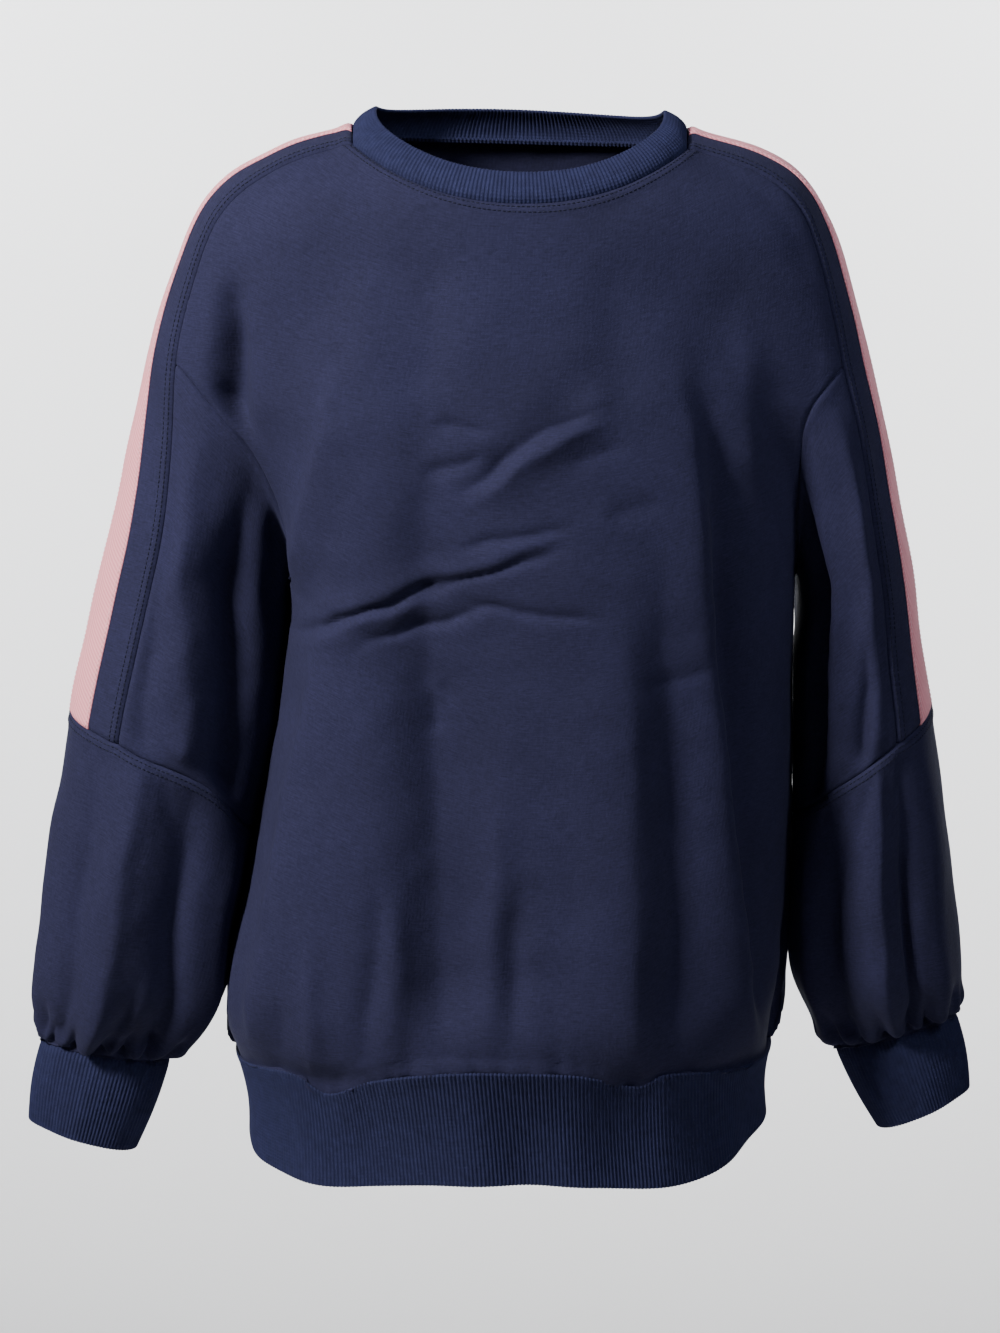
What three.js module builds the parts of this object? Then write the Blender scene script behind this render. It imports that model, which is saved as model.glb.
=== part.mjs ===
// A crewneck sweatshirt, hollow, as it hangs when worn: millimetres, +Z up, front towards -Y, wearer's
// right at -X. The origin is midway between the two high points of the shoulders, where the wearer
// carries the garment.
//
// Two forms make the whole skin. The torso is a stack of rounded sections. Each sleeve is a tube whose
// sections run from an outer point on the shoulder and arm line to an inner point under the arm. Seen
// from the front (and from the back) the cloth lies on whichever form stands further out, with a soft
// hollow where they meet. Each sewn piece is a grid of points on that skin between its seams, given a
// wall of its cloth's thickness.
import * as THREE from "three";

// Cloth
const FLEECE = 1.6; // body cloth
const RIB_KNIT = 2.8; // neckband, cuffs and hem band, folded double
const TAPE_LIFT = 0.3; // clearance between the trim tape and the panel under it
const TAPE = 0.9;
const SEAM_INSET = { outer: 0.3, inner: 1.1 }; // each piece stops this far short of the seam line

// Neckband, hem band and cuffs: their ribs, how many points of the ribbed side share one of the plain
// inside, and how far their middle bulges
const NECKBAND = { ribs: 112, share: 8, bulge: 1.5 };
const HEM = { ribs: 184, share: 8, bulge: 2 };
const CUFF = { ribs: 40, share: 4, bulge: 1.5 };
const RIB_HEIGHT = 0.9;
const BAND_PROUD = 0.5; // the ribs stand this far over the neighbouring cloth
// How far the neckband's upper edge lies inwards of the seam and over it, at the shoulders and at
// front and back
const NECKBAND_RISE = { sides: [14, 13], ends: [9, 17.5] };
const NECK_MIDDLE = { x: 6, y: -8 };
const NECK_SOFTENED = 3; // passes that round the corners of the neckband's upper edge

// Roundness of the sections: 2 is an ellipse, more is squarer.
const HEM_ROUNDNESS = 2.5;
const SLEEVE_ROUNDNESS = { right: 2.15, left: 1.95 };
const PAST_EDGE = -4; // how steeply a section's profile goes on falling past its edge
// The fillet where the chest meets the arm: its width at the chest and at the underarm, and the height
// between.
const FILLET = { chest: 36, underarm: 2, over: 120 };

const UNDERARM = Math.PI; // angle round a sleeve, 0 on its outer line, positive over the front
const UNDERARM_HEIGHT = -290;
const AT_SEAM = 0.9995; // the share of the half-width where the cloth turns to the side seam

// Rows of numbers with named columns, each column a smooth function of the first or of the row's index.
function table(columns, rows) {
  const of = (key) => rows.map((row) => row[columns.indexOf(key)]);
  return Object.fromEntries(columns.map((key) => [key, of(key)]));
}

// The torso at each height: half-widths to the wearer's right and left, depths to the front and back,
// and how square the section is.
const TORSO = table(
  ["z", "right", "left", "front", "back", "roundness"],
  [
    [-690, 175, 169, 121, 104, 2.5],
    [-670, 175, 169, 122, 105, 2.5],
    [-625, 176, 171, 122, 105, 2.5],
    [-600, 178, 173, 126, 108, 2.5],
    [-585, 182, 178, 134, 113, 2.5],
    [-560, 185, 182, 139, 116, 2.5],
    [-528, 181, 184, 138, 113, 2.5],
    [-462, 167, 186, 135, 106, 2.5],
    [-400, 154, 185, 132, 101, 2.5],
    [-350, 145, 184, 131, 99, 2.5],
    [-292, 139, 184, 130, 99, 2.5],
    [-250, 150, 188, 128, 100, 2.4],
    [-200, 170, 193, 123, 101, 2.2],
    [-160, 186, 197, 116, 100, 2.1],
    [-120, 194, 197, 107, 97, 2],
    [-80, 186, 188, 97, 90, 2],
    [-44, 162, 166, 86, 80, 2.1],
    [-13, 112, 118, 64, 68, 2.3],
    [10, 88, 96, 45, 50, 2.5],
  ],
);

const STATIONS = ["outerX", "outerZ", "innerX", "innerZ", "midY", "halfDepth"];
// The sleeve on the wearer's right, from the neck seam to the cuff seam.
const RIGHT_SLEEVE = table(STATIONS, [
  [-100, 1, -86, -120, 0, 62],
  [-134, -8, -104, -128, 0, 64],
  [-158, -18, -112, -134, 0, 64],
  [-177, -29, -114, -140, 0, 63],
  [-192, -43, -113, -146, 0, 62],
  [-202, -59, -111, -152, 0, 61],
  [-211, -80, -108, -160, 0, 60],
  [-222, -110, -106, -172, 0, 59],
  [-232, -142, -108, -188, 0, 58],
  [-243, -190, -118, -218, 0, 57],
  [-256, -243, -132, -258, 0, 57],
  [-267, -285, -142, -296, 0, 57],
  [-278, -330, -147, -345, -3, 58],
  [-288, -373, -155, -394, -6, 58],
  [-298, -441, -168.5, -458, -10, 59],
  [-308, -508, -181.8, -519, -14, 58],
  [-314, -553, -188, -562, -16, 53],
  [-315, -578, -204, -591, -17, 43],
  [-314, -591, -218, -605, -17, 30],
  [-312, -597, -227, -612, -17, 23],
]);
// The sleeve on the wearer's left, which hangs flatter against the body.
const LEFT_SLEEVE = table(STATIONS, [
  [113, -1, 96, -120, 0, 62],
  [140, -8, 110, -126, 0, 64],
  [161, -15, 118, -132, 0, 64],
  [179, -25, 122, -138, 0, 64],
  [192, -38, 122, -145, 0, 64],
  [201, -53, 121, -151, 0, 64],
  [210, -74, 121, -159, 0, 65],
  [220, -105, 125, -172, 0, 66],
  [229, -138, 138, -186, 1, 67],
  [241, -184, 161, -214, 3, 69],
  [253, -240, 179, -256, 5, 70],
  [263, -288, 189, -296, 6, 70],
  [270, -333, 187, -347, 7, 70],
  [278, -375, 187.5, -396, 7, 69],
  [289, -441, 188, -460, 6, 66],
  [298, -508, 187.5, -519, 4, 62],
  [303, -550, 190, -557, 2, 55],
  [303, -568, 204, -585, 0, 43],
  [301, -579, 216, -601, -2, 30],
  [299, -584, 222, -607, -2, 23],
]);
const LAST_STATION = RIGHT_SLEEVE.outerX.length - 1;

// Seams round a sleeve, the same on both sides: height against the angle from the outer line.
const ARMHOLE = table(["degrees", "right", "left"], [
  [30, -141, -141],
  [51, -148, -146],
  [74, -168, -160],
  [98, -195, -180],
  [118, -222, -207],
  [142, -254, -246],
  [180, -291, -290],
]);
const ELBOW = table(["degrees", "right", "left"], [
  [0, -372, -370],
  [40, -378, -376],
  [80, -397, -396],
  [120, -420, -420],
  [150, -446, -440],
  [180, -458, -452],
]);

// The trim panel over the shoulder and arm: its half-width, and its middle as an arc from each
// sleeve's outer line.
const PANEL = table(["station", "halfWidth", "right", "left"], [
  [0, 38, 0, 0],
  [4, 42, 3, 3],
  [7, 42, 5, 12],
  [8, 42, 9, 17],
  [9, 42, 18, 22],
  [10, 42, 26, 28],
  [11, 42, 28, 31],
  [14, 42, 28, 32],
]);
const TAPE_HALF_WIDTH = 17;
// The panel's columns, as shares of its half-width or as the tape's edges
const PANEL_COLUMNS = [1, 0.66, "tape", 0, "-tape", -0.66, -1];

// The last station that each search along a sleeve looks at.
const UP_TO = { body: 13, armhole: 12, elbow: 17 };

// The lower edge of each cuff, in the columns of a sleeve's stations.
const CUFF_EDGE = {
  right: { ox: -322, oz: -655, ix: -250, iz: -676, midY: -20, depth: 20 },
  left: { ox: 309, oz: -638, ix: 247, iz: -666, midY: -6, depth: 20 },
};

// The neck seam across the front and back, as a drop below the line between its ends, and the heights
// of the hem.
const FRONT_NECK_DROP = 33;
const BACK_NECK_DROP = 2;
const HEM_SEAM_FRONT = table(["x", "z"], [
  [-180, -608], [-160, -602], [-138, -600], [-116, -610], [-88, -597], [-44, -588],
  [2, -587], [44, -590], [82, -601], [98, -594], [136, -599], [175, -604],
]);
const HEM_SEAM_BACK = table(["x", "z"], [
  [-180, -608], [-140, -599], [-95, -607], [-45, -596], [10, -600], [60, -594], [110, -605], [175, -604],
]);
// The hem's lower edge, by turns round it from the right side seam over the front.
const HEM_EDGE = table(["turn", "z"], [
  [0, -664], [0.07, -669], [0.15, -671], [0.24, -663], [0.34, -670], [0.42, -659], [0.5, -652],
  [0.62, -662], [0.75, -660], [0.88, -666], [1, -664],
]);

// Gathers of each lower sleeve over its cuff
const GATHERS = 13;
const GATHER_DEPTH = 3.4;

// Grid sizes: steps along each stretch of seam
const STEPS = { side: 8, armhole: 9, shoulder: 7, arm: 7, across: 24, lower: 9 };
const FINE = 72; // steps along a row before its points are spread evenly
const HEM_FINE = 120; // points of the hem's edge before they are spread evenly
const BAND_ROWS = 2;
const ARC_STEP = 0.02; // angle between the points that measure an arc
const HALVINGS = 26; // of the range in each search
const TURNS = 30; // of the search for a corner where two seams meet
const SETTLE = 0.7; // how far each turn moves towards its new place

// Spacing of the rows
const CROWDED = { underarm: 0.85, cuff: 1.5 }; // powers that draw rows closer together there
const ROWS_EVENED = 0.75; // how far the rows' heights in the middle are evened out
const HEM_ROWS = 3; // rows that take up the wave of the hem seam
const LIFT = { sides: 2.2, armhole: 1.7, neck: 1 }; // powers of the curve by which a row rises

// How folds fade: powers towards both ends of a fold and towards the garment's sides
const FOLD_FADE = { ends: 0.6, sides: 0.5 };

// Folds of the front and back: a soft ridge, or a trough where the height is negative, along a line.
const FOLDS = ["fromX", "fromZ", "toX", "toZ", "width", "height"];
const FRONT_FOLDS = table(FOLDS, [
  [-104, -175, -128, -300, 13, 7],
  [-88, -215, -112, -330, 9, -5],
  [-74, -190, -142, -520, 22, 5],
  [-122, -330, -158, -590, 15, -6],
  [-120, -440, -128, -596, 13, 8],
  [-60, -380, -84, -590, 26, -4],
  [118, -205, 150, -560, 13, 6],
  [138, -230, 166, -560, 17, -9],
  [60, -430, 84, -596, 16, 6],
]);
const BACK_FOLDS = table(FOLDS, [
  [-110, -180, -132, -400, 16, 6],
  [-66, -300, -96, -592, 20, -6],
  [-20, -340, -30, -592, 22, 5],
  [40, -320, 52, -592, 20, -5],
  [96, -260, 118, -590, 18, 7],
  [140, -240, 158, -560, 16, -7],
  [-60, -150, 66, -154, 14, -4],
]);

// The smooth curve through the points (xs, ys), xs rising: each cubic's slopes are the mean of its
// neighbours'.
function smooth(xs, ys, x) {
  const n = xs.length - 1;
  let i = 0;
  while (i < n - 1 && x > xs[i + 1]) i++;
  const slope = (k) => {
    const a = Math.max(k - 1, 0);
    const b = Math.min(k + 1, n);
    return (ys[b] - ys[a]) / (xs[b] - xs[a]);
  };
  const h = xs[i + 1] - xs[i];
  const t = Math.min(Math.max((x - xs[i]) / h, 0), 1);
  const t2 = t * t;
  const t3 = t2 * t;
  return (
    (2 * t3 - 3 * t2 + 1) * ys[i] +
    (t3 - 2 * t2 + t) * h * slope(i) +
    (3 * t2 - 2 * t3) * ys[i + 1] +
    (t3 - t2) * h * slope(i + 1)
  );
}

const INDEX = RIGHT_SLEEVE.outerX.map((_, i) => i);
const clamp = (v, low, high) => Math.min(Math.max(v, low), high);
const mix = (a, b, t) => a + (b - a) * t;

// A section of one sleeve: its outer and inner points, middle and half-depth.
function section(sleeve, station) {
  const at = (key) => smooth(INDEX, sleeve[key], station);
  const [ox, oz, ix, iz] = ["outerX", "outerZ", "innerX", "innerZ"].map(at);
  const roundness = SLEEVE_ROUNDNESS[sleeve === RIGHT_SLEEVE ? "right" : "left"];
  return { ox, oz, ix, iz, midY: at("midY"), depth: at("halfDepth"), roundness };
}

// How far a rounded section stands out at a share r of its half-width: 1 in the middle, 0 at its edge.
const rounded = (r, power) => (r >= 1 ? PAST_EDGE * (r - 1) : (1 - r ** power) ** (1 / power));

// The height of the torso above the middle plane, towards the face ("front" or "back").
function torsoHeight(x, z, face) {
  const halfWidth = smooth(TORSO.z, x < 0 ? TORSO.right : TORSO.left, z);
  const depth = smooth(TORSO.z, TORSO[face], z);
  const share = Math.abs(x) / halfWidth;
  return { share, depth, height: depth * rounded(share, smooth(TORSO.z, TORSO.roundness, z)) };
}

// The larger of two heights with a fillet between them, wide over the chest and gone at the underarm.
function joined(arm, torso, z) {
  const width = mix(FILLET.underarm, FILLET.chest, clamp((z - UNDERARM_HEIGHT) / FILLET.over, 0, 1));
  const share = clamp(0.5 + (0.5 * (arm - torso)) / width, 0, 1);
  return mix(torso, arm, share) + width * share * (1 - share);
}

// The station and the place across a sleeve's section (1 outer, -1 inner) of a point seen from the
// front.
function acrossSleeve(sleeve, x, z) {
  const side = (station) => {
    const s = section(sleeve, station);
    return ((x - s.ix) * (s.oz - s.iz) - (z - s.iz) * (s.ox - s.ix)) * Math.sign(s.ox);
  };
  let low = 0;
  let high = UP_TO.body;
  if (side(0) > 0)
    for (let k = 0; k < HALVINGS; k++) {
      const middle = (low + high) / 2;
      if (side(middle) > 0) low = middle;
      else high = middle;
    }
  const s = section(sleeve, low);
  const dx = (s.ox - s.ix) / 2;
  const dz = (s.oz - s.iz) / 2;
  const across = ((x - s.ix - dx) * dx + (z - s.iz - dz) * dz) / (dx * dx + dz * dz);
  return { s, across };
}

// The sum of the folds at a point: each is a bell across its line, fading at both ends.
function foldHeight(folds, x, z) {
  return folds.fromX.reduce((sum, x0, k) => {
    const [dx, dz] = [folds.toX[k] - x0, folds.toZ[k] - folds.fromZ[k]];
    const length = Math.hypot(dx, dz);
    const along = ((x - x0) * dx + (z - folds.fromZ[k]) * dz) / length ** 2;
    const aside = ((x - x0) * dz - (z - folds.fromZ[k]) * dx) / length;
    const fade = Math.sin(Math.PI * clamp(along, 0, 1)) ** FOLD_FADE.ends;
    return sum + folds.height[k] * fade * Math.exp(-((aside / folds.width[k]) ** 2));
  }, 0);
}

// The front or back of the garment as a surface over the X and Z plane.
function bodySkin(x, z, face) {
  const sign = face === "front" ? -1 : 1;
  const sleeve = x < 0 ? RIGHT_SLEEVE : LEFT_SLEEVE;
  const torso = torsoHeight(x, z, face);
  let height = torso.height;
  if (z > UNDERARM_HEIGHT) {
    const { s, across } = acrossSleeve(sleeve, x, z);
    height = joined(s.depth * rounded(Math.abs(across), s.roundness) + sign * s.midY, torso.height, z);
  } else if (torso.share > AT_SEAM) height = torso.depth * rounded(AT_SEAM, HEM_ROUNDNESS);
  const calm = clamp(torso.height / torso.depth, 0, 1) ** FOLD_FADE.sides;
  const folds = foldHeight(face === "front" ? FRONT_FOLDS : BACK_FOLDS, x, z) * calm;
  return new THREE.Vector3(x, sign * (height + folds), z);
}

// A point of a sleeve's skin at a station and an angle from its outer line, positive over the front.
function sleeveSkin(sleeve, station, angle) {
  const s = section(sleeve, station);
  const power = 2 / s.roundness;
  const c = Math.sign(Math.cos(angle)) * Math.abs(Math.cos(angle)) ** power;
  const d = Math.abs(Math.sin(angle)) ** power;
  const x = (s.ox + s.ix) / 2 + ((s.ox - s.ix) / 2) * c;
  const z = (s.oz + s.iz) / 2 + ((s.oz - s.iz) / 2) * c;
  const face = Math.sin(angle) >= 0 ? "front" : "back";
  const sign = face === "front" ? -1 : 1;
  const arm = s.depth * d + sign * s.midY;
  const height = z > UNDERARM_HEIGHT ? joined(arm, torsoHeight(x, z, face).height, z) : arm;
  return new THREE.Vector3(x, sign * height, z);
}

// The station where a sleeve's skin at this angle comes to this height.
function stationAt(sleeve, angle, z, high) {
  let low = 0;
  for (let k = 0; k < HALVINGS; k++) {
    const middle = (low + high) / 2;
    if (sleeveSkin(sleeve, middle, angle).z > z) low = middle;
    else high = middle;
  }
  return (low + high) / 2;
}

// The angle at an arc length from a section's outer line, measured along the skin.
function angleAtArc(sleeve, station, arc) {
  const step = ARC_STEP * Math.sign(arc);
  let [angle, length, stride, last] = [0, 0, 1, sleeveSkin(sleeve, station, 0)];
  while (length < Math.abs(arc)) {
    angle += step;
    const next = sleeveSkin(sleeve, station, angle);
    stride = next.distanceTo(last);
    length += stride;
    last = next;
  }
  return angle - (step * (length - Math.abs(arc))) / stride;
}

// The arc from a sleeve's outer line to a column of its panel.
function panelArc(side, station, column) {
  const reach = { tape: TAPE_HALF_WIDTH, "-tape": -TAPE_HALF_WIDTH };
  const aside = reach[column] ?? column * smooth(PANEL.station, PANEL.halfWidth, station);
  return smooth(PANEL.station, PANEL[side], station) + aside;
}

// Points at equal steps along a polyline.
function evenly(points, count) {
  const lengths = [0];
  for (let i = 1; i < points.length; i++) lengths.push(lengths[i - 1] + points[i].distanceTo(points[i - 1]));
  const total = lengths[points.length - 1];
  return Array.from({ length: count + 1 }, (_, k) => {
    const target = (total * k) / count;
    let i = 1;
    while (i < points.length - 1 && lengths[i] < target) i++;
    const t = (target - lengths[i - 1]) / (lengths[i] - lengths[i - 1]);
    return points[i - 1].clone().lerp(points[i], clamp(t, 0, 1));
  });
}

// All the seam points that neighbouring pieces share, for one side.
function seamsOf(side) {
  const sleeve = side === "right" ? RIGHT_SLEEVE : LEFT_SLEEVE;
  const rad = (degrees) => (degrees * Math.PI) / 180;
  const heightOf = (seam, angle) => smooth(seam.degrees.map(rad), seam[side], Math.abs(angle));
  const armholeStation = (angle) => stationAt(sleeve, angle, heightOf(ARMHOLE, angle), UP_TO.armhole);
  const elbowStation = (angle) => stationAt(sleeve, angle, heightOf(ELBOW, angle), UP_TO.elbow);

  // Where the panel's edge meets the armhole or the elbow seam: the station at which both agree.
  const edge = (column) => {
    const angleOf = (station) => angleAtArc(sleeve, station, panelArc(side, station, column));
    const meet = (stationOf) => {
      let station = UP_TO.armhole;
      for (let k = 0; k < TURNS; k++) station = mix(station, stationOf(angleOf(station)), SETTLE);
      return station;
    };
    const corner = meet(armholeStation);
    const end = meet(elbowStation);
    const stations = [
      ...Array.from({ length: STEPS.shoulder }, (_, i) => (corner * i) / STEPS.shoulder),
      ...Array.from({ length: STEPS.arm + 1 }, (_, i) => mix(corner, end, i / STEPS.arm)),
    ];
    return { stations, angles: stations.map(angleOf) };
  };
  const front = edge(1);
  const back = edge(-1);

  // The angles of the seam points round the armhole, from the panel's front edge under the arm to its
  // back edge.
  const from = front.angles[STEPS.shoulder];
  const to = 2 * Math.PI + back.angles[STEPS.shoulder];
  const round = [
    ...Array.from({ length: STEPS.armhole }, (_, i) => mix(from, UNDERARM, i / STEPS.armhole)),
    ...Array.from({ length: STEPS.armhole + 1 }, (_, i) => mix(UNDERARM, to, i / STEPS.armhole)),
  ];
  const wrap = (angle) => (angle > Math.PI ? angle - 2 * Math.PI : angle);
  const armhole = round.map((angle) => armholeStation(wrap(angle)));
  return { sleeve, front, back, round, armhole, wrap, elbowStation };
}
const SEAMS = { right: seamsOf("right"), left: seamsOf("left") };

// The outer edge of the front or back on one side: from the hem up the side, round the armhole, along
// the panel.
function bodyEdge(side, face) {
  const { sleeve, front, back, round, armhole, wrap } = SEAMS[side];
  const sign = side === "right" ? -1 : 1;
  const hem = face === "front" ? HEM_SEAM_FRONT : HEM_SEAM_BACK;
  const foot = sign < 0 ? hem.z[0] : hem.z[hem.z.length - 1];
  const top = sleeveSkin(sleeve, armhole[STEPS.armhole], UNDERARM);
  const points = [];
  for (let i = 0; i < STEPS.side; i++) {
    const z = mix(foot, top.z, (i / STEPS.side) ** CROWDED.underarm);
    points.push(new THREE.Vector3(sign * smooth(TORSO.z, TORSO[side], z), 0, z));
  }
  for (let i = 0; i <= STEPS.armhole; i++) {
    const k = face === "front" ? STEPS.armhole - i : STEPS.armhole + i;
    points.push(sleeveSkin(sleeve, armhole[k], wrap(round[k])));
  }
  const edge = face === "front" ? front : back;
  for (let i = STEPS.shoulder - 1; i >= 0; i--)
    points.push(sleeveSkin(sleeve, edge.stations[i], edge.angles[i]));
  return points;
}

// The front or back: rows from the hem to the neck, each following the skin between the two side edges.
function bodyGrid(face) {
  const right = bodyEdge("right", face);
  const left = bodyEdge("left", face);
  const hem = face === "front" ? HEM_SEAM_FRONT : HEM_SEAM_BACK;
  const drop = face === "front" ? FRONT_NECK_DROP : BACK_NECK_DROP;
  const last = right.length - 1;
  const heightOf = (row) => (right[row].z + left[row].z) / 2;
  const neckHeight = heightOf(last) - drop;
  return right.map((a, row) => {
    const b = left[row];
    const even = mix(heightOf(0), neckHeight, row / last);
    const middle = mix(heightOf(row), even, row === last ? 1 : ROWS_EVENED);
    const toHem = clamp(1 - row / HEM_ROWS, 0, 1);
    const toNeck = clamp((row - STEPS.side - STEPS.armhole) / STEPS.shoulder, 0, 1);
    const path = [];
    for (let k = 0; k <= FINE; k++) {
      const s = (1 - Math.cos((Math.PI * k) / FINE)) / 2;
      const x = mix(a.x, b.x, s);
      const rise = (1 - Math.abs(2 * s - 1) ** LIFT.sides) ** mix(LIFT.armhole, LIFT.neck, toNeck);
      const lift = (middle - heightOf(row)) * rise;
      const z = mix(a.z, b.z, s) + lift;
      path.push(bodySkin(x, mix(z, smooth(hem.x, hem.z, x), toHem), face));
    }
    path[0].copy(a);
    path[FINE].copy(b);
    return evenly(path, STEPS.across);
  });
}

// The trim panel: rows from the neck to the elbow seam, columns from its front edge to its back edge.
function panelGrid(side) {
  const { sleeve, front, back } = SEAMS[side];
  return front.stations.map((station, row) =>
    PANEL_COLUMNS.map((column, k) => {
      const s = mix(station, back.stations[row], k / (PANEL_COLUMNS.length - 1));
      if (column === 1) return sleeveSkin(sleeve, s, front.angles[row]);
      if (column === -1) return sleeveSkin(sleeve, s, back.angles[row]);
      return sleeveSkin(sleeve, s, angleAtArc(sleeve, s, panelArc(side, s, column)));
    }),
  );
}

// The angle of column k of the upper sleeve in a row: its ends follow the panel's edges.
function sleeveAngle(side, row, k) {
  const { front, back, round } = SEAMS[side];
  const i = STEPS.shoulder + row;
  const last = round.length - 1;
  return k <= STEPS.armhole
    ? mix(front.angles[i], UNDERARM, (round[k] - round[0]) / (UNDERARM - round[0]))
    : mix(UNDERARM, 2 * Math.PI + back.angles[i], (round[k] - UNDERARM) / (round[last] - UNDERARM));
}

// The upper sleeve: rows from the armhole to the elbow seam, columns from the panel's front edge round
// to its back.
function upperSleeveGrid(side) {
  const { sleeve, front, back, round, armhole, wrap, elbowStation } = SEAMS[side];
  return Array.from({ length: STEPS.arm + 1 }, (_, row) =>
    round.map((_, k) => {
      const edge = { 0: front, [round.length - 1]: back }[k];
      const end = elbowStation(wrap(sleeveAngle(side, STEPS.arm, k)));
      const station = edge ? edge.stations[STEPS.shoulder + row] : mix(armhole[k], end, row / STEPS.arm);
      return sleeveSkin(sleeve, station, wrap(sleeveAngle(side, row, k)));
    }),
  );
}

const BETWEEN = PANEL_COLUMNS.length - 2; // columns of the panel between its edges
const OVER_PANEL = (BETWEEN - 1) / 2; // the lower sleeve's column that meets the panel's middle one

// The lower sleeve: rings from the elbow seam to the cuff seam, with gathers that fade upwards from
// the cuff.
function lowerSleeveGrid(side, panel, upper) {
  const { sleeve, front, back, wrap, elbowStation, round } = SEAMS[side];
  const top = [...panel[panel.length - 1].slice(1, -1).reverse(), ...upper[upper.length - 1]];
  const last = STEPS.shoulder + STEPS.arm;
  const overPanel = (k) => mix(back.angles[last], front.angles[last], (k + 1) / (BETWEEN + 1));
  const angles = [
    ...Array.from({ length: BETWEEN }, (_, k) => overPanel(k)),
    ...round.map((_, k) => sleeveAngle(side, STEPS.arm, k)),
  ];
  return Array.from({ length: STEPS.lower + 1 }, (_, row) =>
    angles.map((angle, k) => {
      if (row === 0) return top[k].clone();
      const t = 1 - (1 - row / STEPS.lower) ** CROWDED.cuff;
      const station = mix(elbowStation(wrap(angle)), LAST_STATION, t);
      const spread = (2 * Math.PI * (k - OVER_PANEL)) / angles.length;
      const even = mix(angle, spread, t * t); // the columns spread evenly at the cuff
      const p = sleeveSkin(sleeve, station, wrap(even));
      const s = section(sleeve, station);
      const middle = new THREE.Vector3((s.ox + s.ix) / 2, s.midY, (s.oz + s.iz) / 2);
      const gather = GATHER_DEPTH * Math.sin(Math.PI * t ** 3) * Math.cos(GATHERS * even);
      return p.addScaledVector(p.clone().sub(middle).normalize(), gather);
    }),
  );
}

// Outward directions at each point of a grid.
function outward(grid, ring, flip) {
  const rows = grid.length;
  const columns = grid[0].length;
  const column = (k) => (ring ? (k + columns) % columns : clamp(k, 0, columns - 1));
  return grid.map((line, i) =>
    line.map((_, k) => {
      const along = grid[Math.min(i + 1, rows - 1)][k].clone().sub(grid[Math.max(i - 1, 0)][k]);
      const across = line[column(k + 1)].clone().sub(line[column(k - 1)]);
      return along.cross(across).normalize().multiplyScalar(flip);
    }),
  );
}

// Moves the edges of a grid inwards, square to the edge, so that neighbouring pieces stop short of
// their seam.
function inset(grid, ring, by) {
  const moved = grid.map((line) => line.map((p) => p.clone()));
  const rows = grid.length - 1;
  const columns = grid[0].length - 1;
  const column = (k) => (ring ? (k + columns + 1) % (columns + 1) : clamp(k, 0, columns));
  const at = (i, k) => grid[clamp(i, 0, rows)][column(k)];
  const nudge = (i, k, towards, before, after) => {
    const tangent = after.clone().sub(before).normalize();
    const inwards = towards.clone().sub(grid[i][k]);
    inwards.addScaledVector(tangent, -inwards.dot(tangent)).normalize();
    moved[i][k].addScaledVector(inwards, by);
  };
  for (let k = 0; k <= columns; k++) {
    nudge(0, k, at(1, k), at(0, k - 1), at(0, k + 1));
    nudge(rows, k, at(rows - 1, k), at(rows, k - 1), at(rows, k + 1));
  }
  if (!ring)
    for (let i = 0; i <= rows; i++) {
      nudge(i, 0, at(i, 1), at(i - 1, 0), at(i + 1, 0));
      nudge(i, columns, at(i, columns - 1), at(i - 1, columns), at(i + 1, columns));
    }
  return moved;
}

// A closed solid from two skins of the same rows: the outer may have several columns for each one of
// the inner.
function solidBetween(outer, inner, ring, ratio = 1) {
  const positions = [];
  const index = [];
  const put = (grid) => {
    const start = positions.length / 3;
    for (const line of grid) for (const p of line) positions.push(p.x, p.y, p.z);
    return (i, k) => start + i * grid[0].length + (ring ? k % grid[0].length : k);
  };
  const o = put(outer);
  const n = put(inner);
  const spans = (grid) => grid[0].length - (ring ? 0 : 1);
  const apart = (a, b, i) => positions[3 * a + i] - positions[3 * b + i];
  const span = (a, b) => Math.hypot(...[0, 1, 2].map((i) => apart(a, b, i)));
  const face = (a, b, c, d) =>
    span(a, c) <= span(b, d) ? index.push(a, b, c, a, c, d) : index.push(a, b, d, b, c, d);
  for (let i = 0; i < outer.length - 1; i++)
    for (let k = 0; k < spans(outer); k++) face(o(i, k), o(i, k + 1), o(i + 1, k + 1), o(i + 1, k));
  for (let i = 0; i < inner.length - 1; i++)
    for (let k = 0; k < spans(inner); k++) face(n(i, k), n(i + 1, k), n(i + 1, k + 1), n(i, k + 1));
  const rim = (i, j, turned) => {
    const triangle = (a, b, c) => (turned ? index.push(a, c, b) : index.push(a, b, c));
    for (let k = 0; k < spans(inner); k++) {
      const half = Math.ceil(ratio / 2);
      for (let m = 0; m < half; m++) triangle(o(i, k * ratio + m), n(j, k), o(i, k * ratio + m + 1));
      triangle(n(j, k), n(j, k + 1), o(i, k * ratio + half));
      for (let m = half; m < ratio; m++) triangle(o(i, k * ratio + m), n(j, k + 1), o(i, k * ratio + m + 1));
    }
  };
  rim(0, 0, false);
  rim(outer.length - 1, inner.length - 1, true);
  if (!ring) {
    const end = outer[0].length - 1;
    for (let i = 0; i < outer.length - 1; i++) {
      face(o(i, 0), o(i + 1, 0), n(i + 1, 0), n(i, 0));
      face(o(i + 1, end), o(i, end), n(i, end), n(i + 1, end));
    }
  }
  const geometry = new THREE.BufferGeometry();
  geometry.setAttribute("position", new THREE.Float32BufferAttribute(positions, 3));
  geometry.setIndex(index);
  return geometry;
}

// A grid's points moved out by a distance that may change from column to column.
function offset(skin, ring, flip, by) {
  const normals = outward(skin, ring, flip);
  return skin.map((line, i) => line.map((p, k) => p.clone().addScaledVector(normals[i][k], by(k, i))));
}

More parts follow.
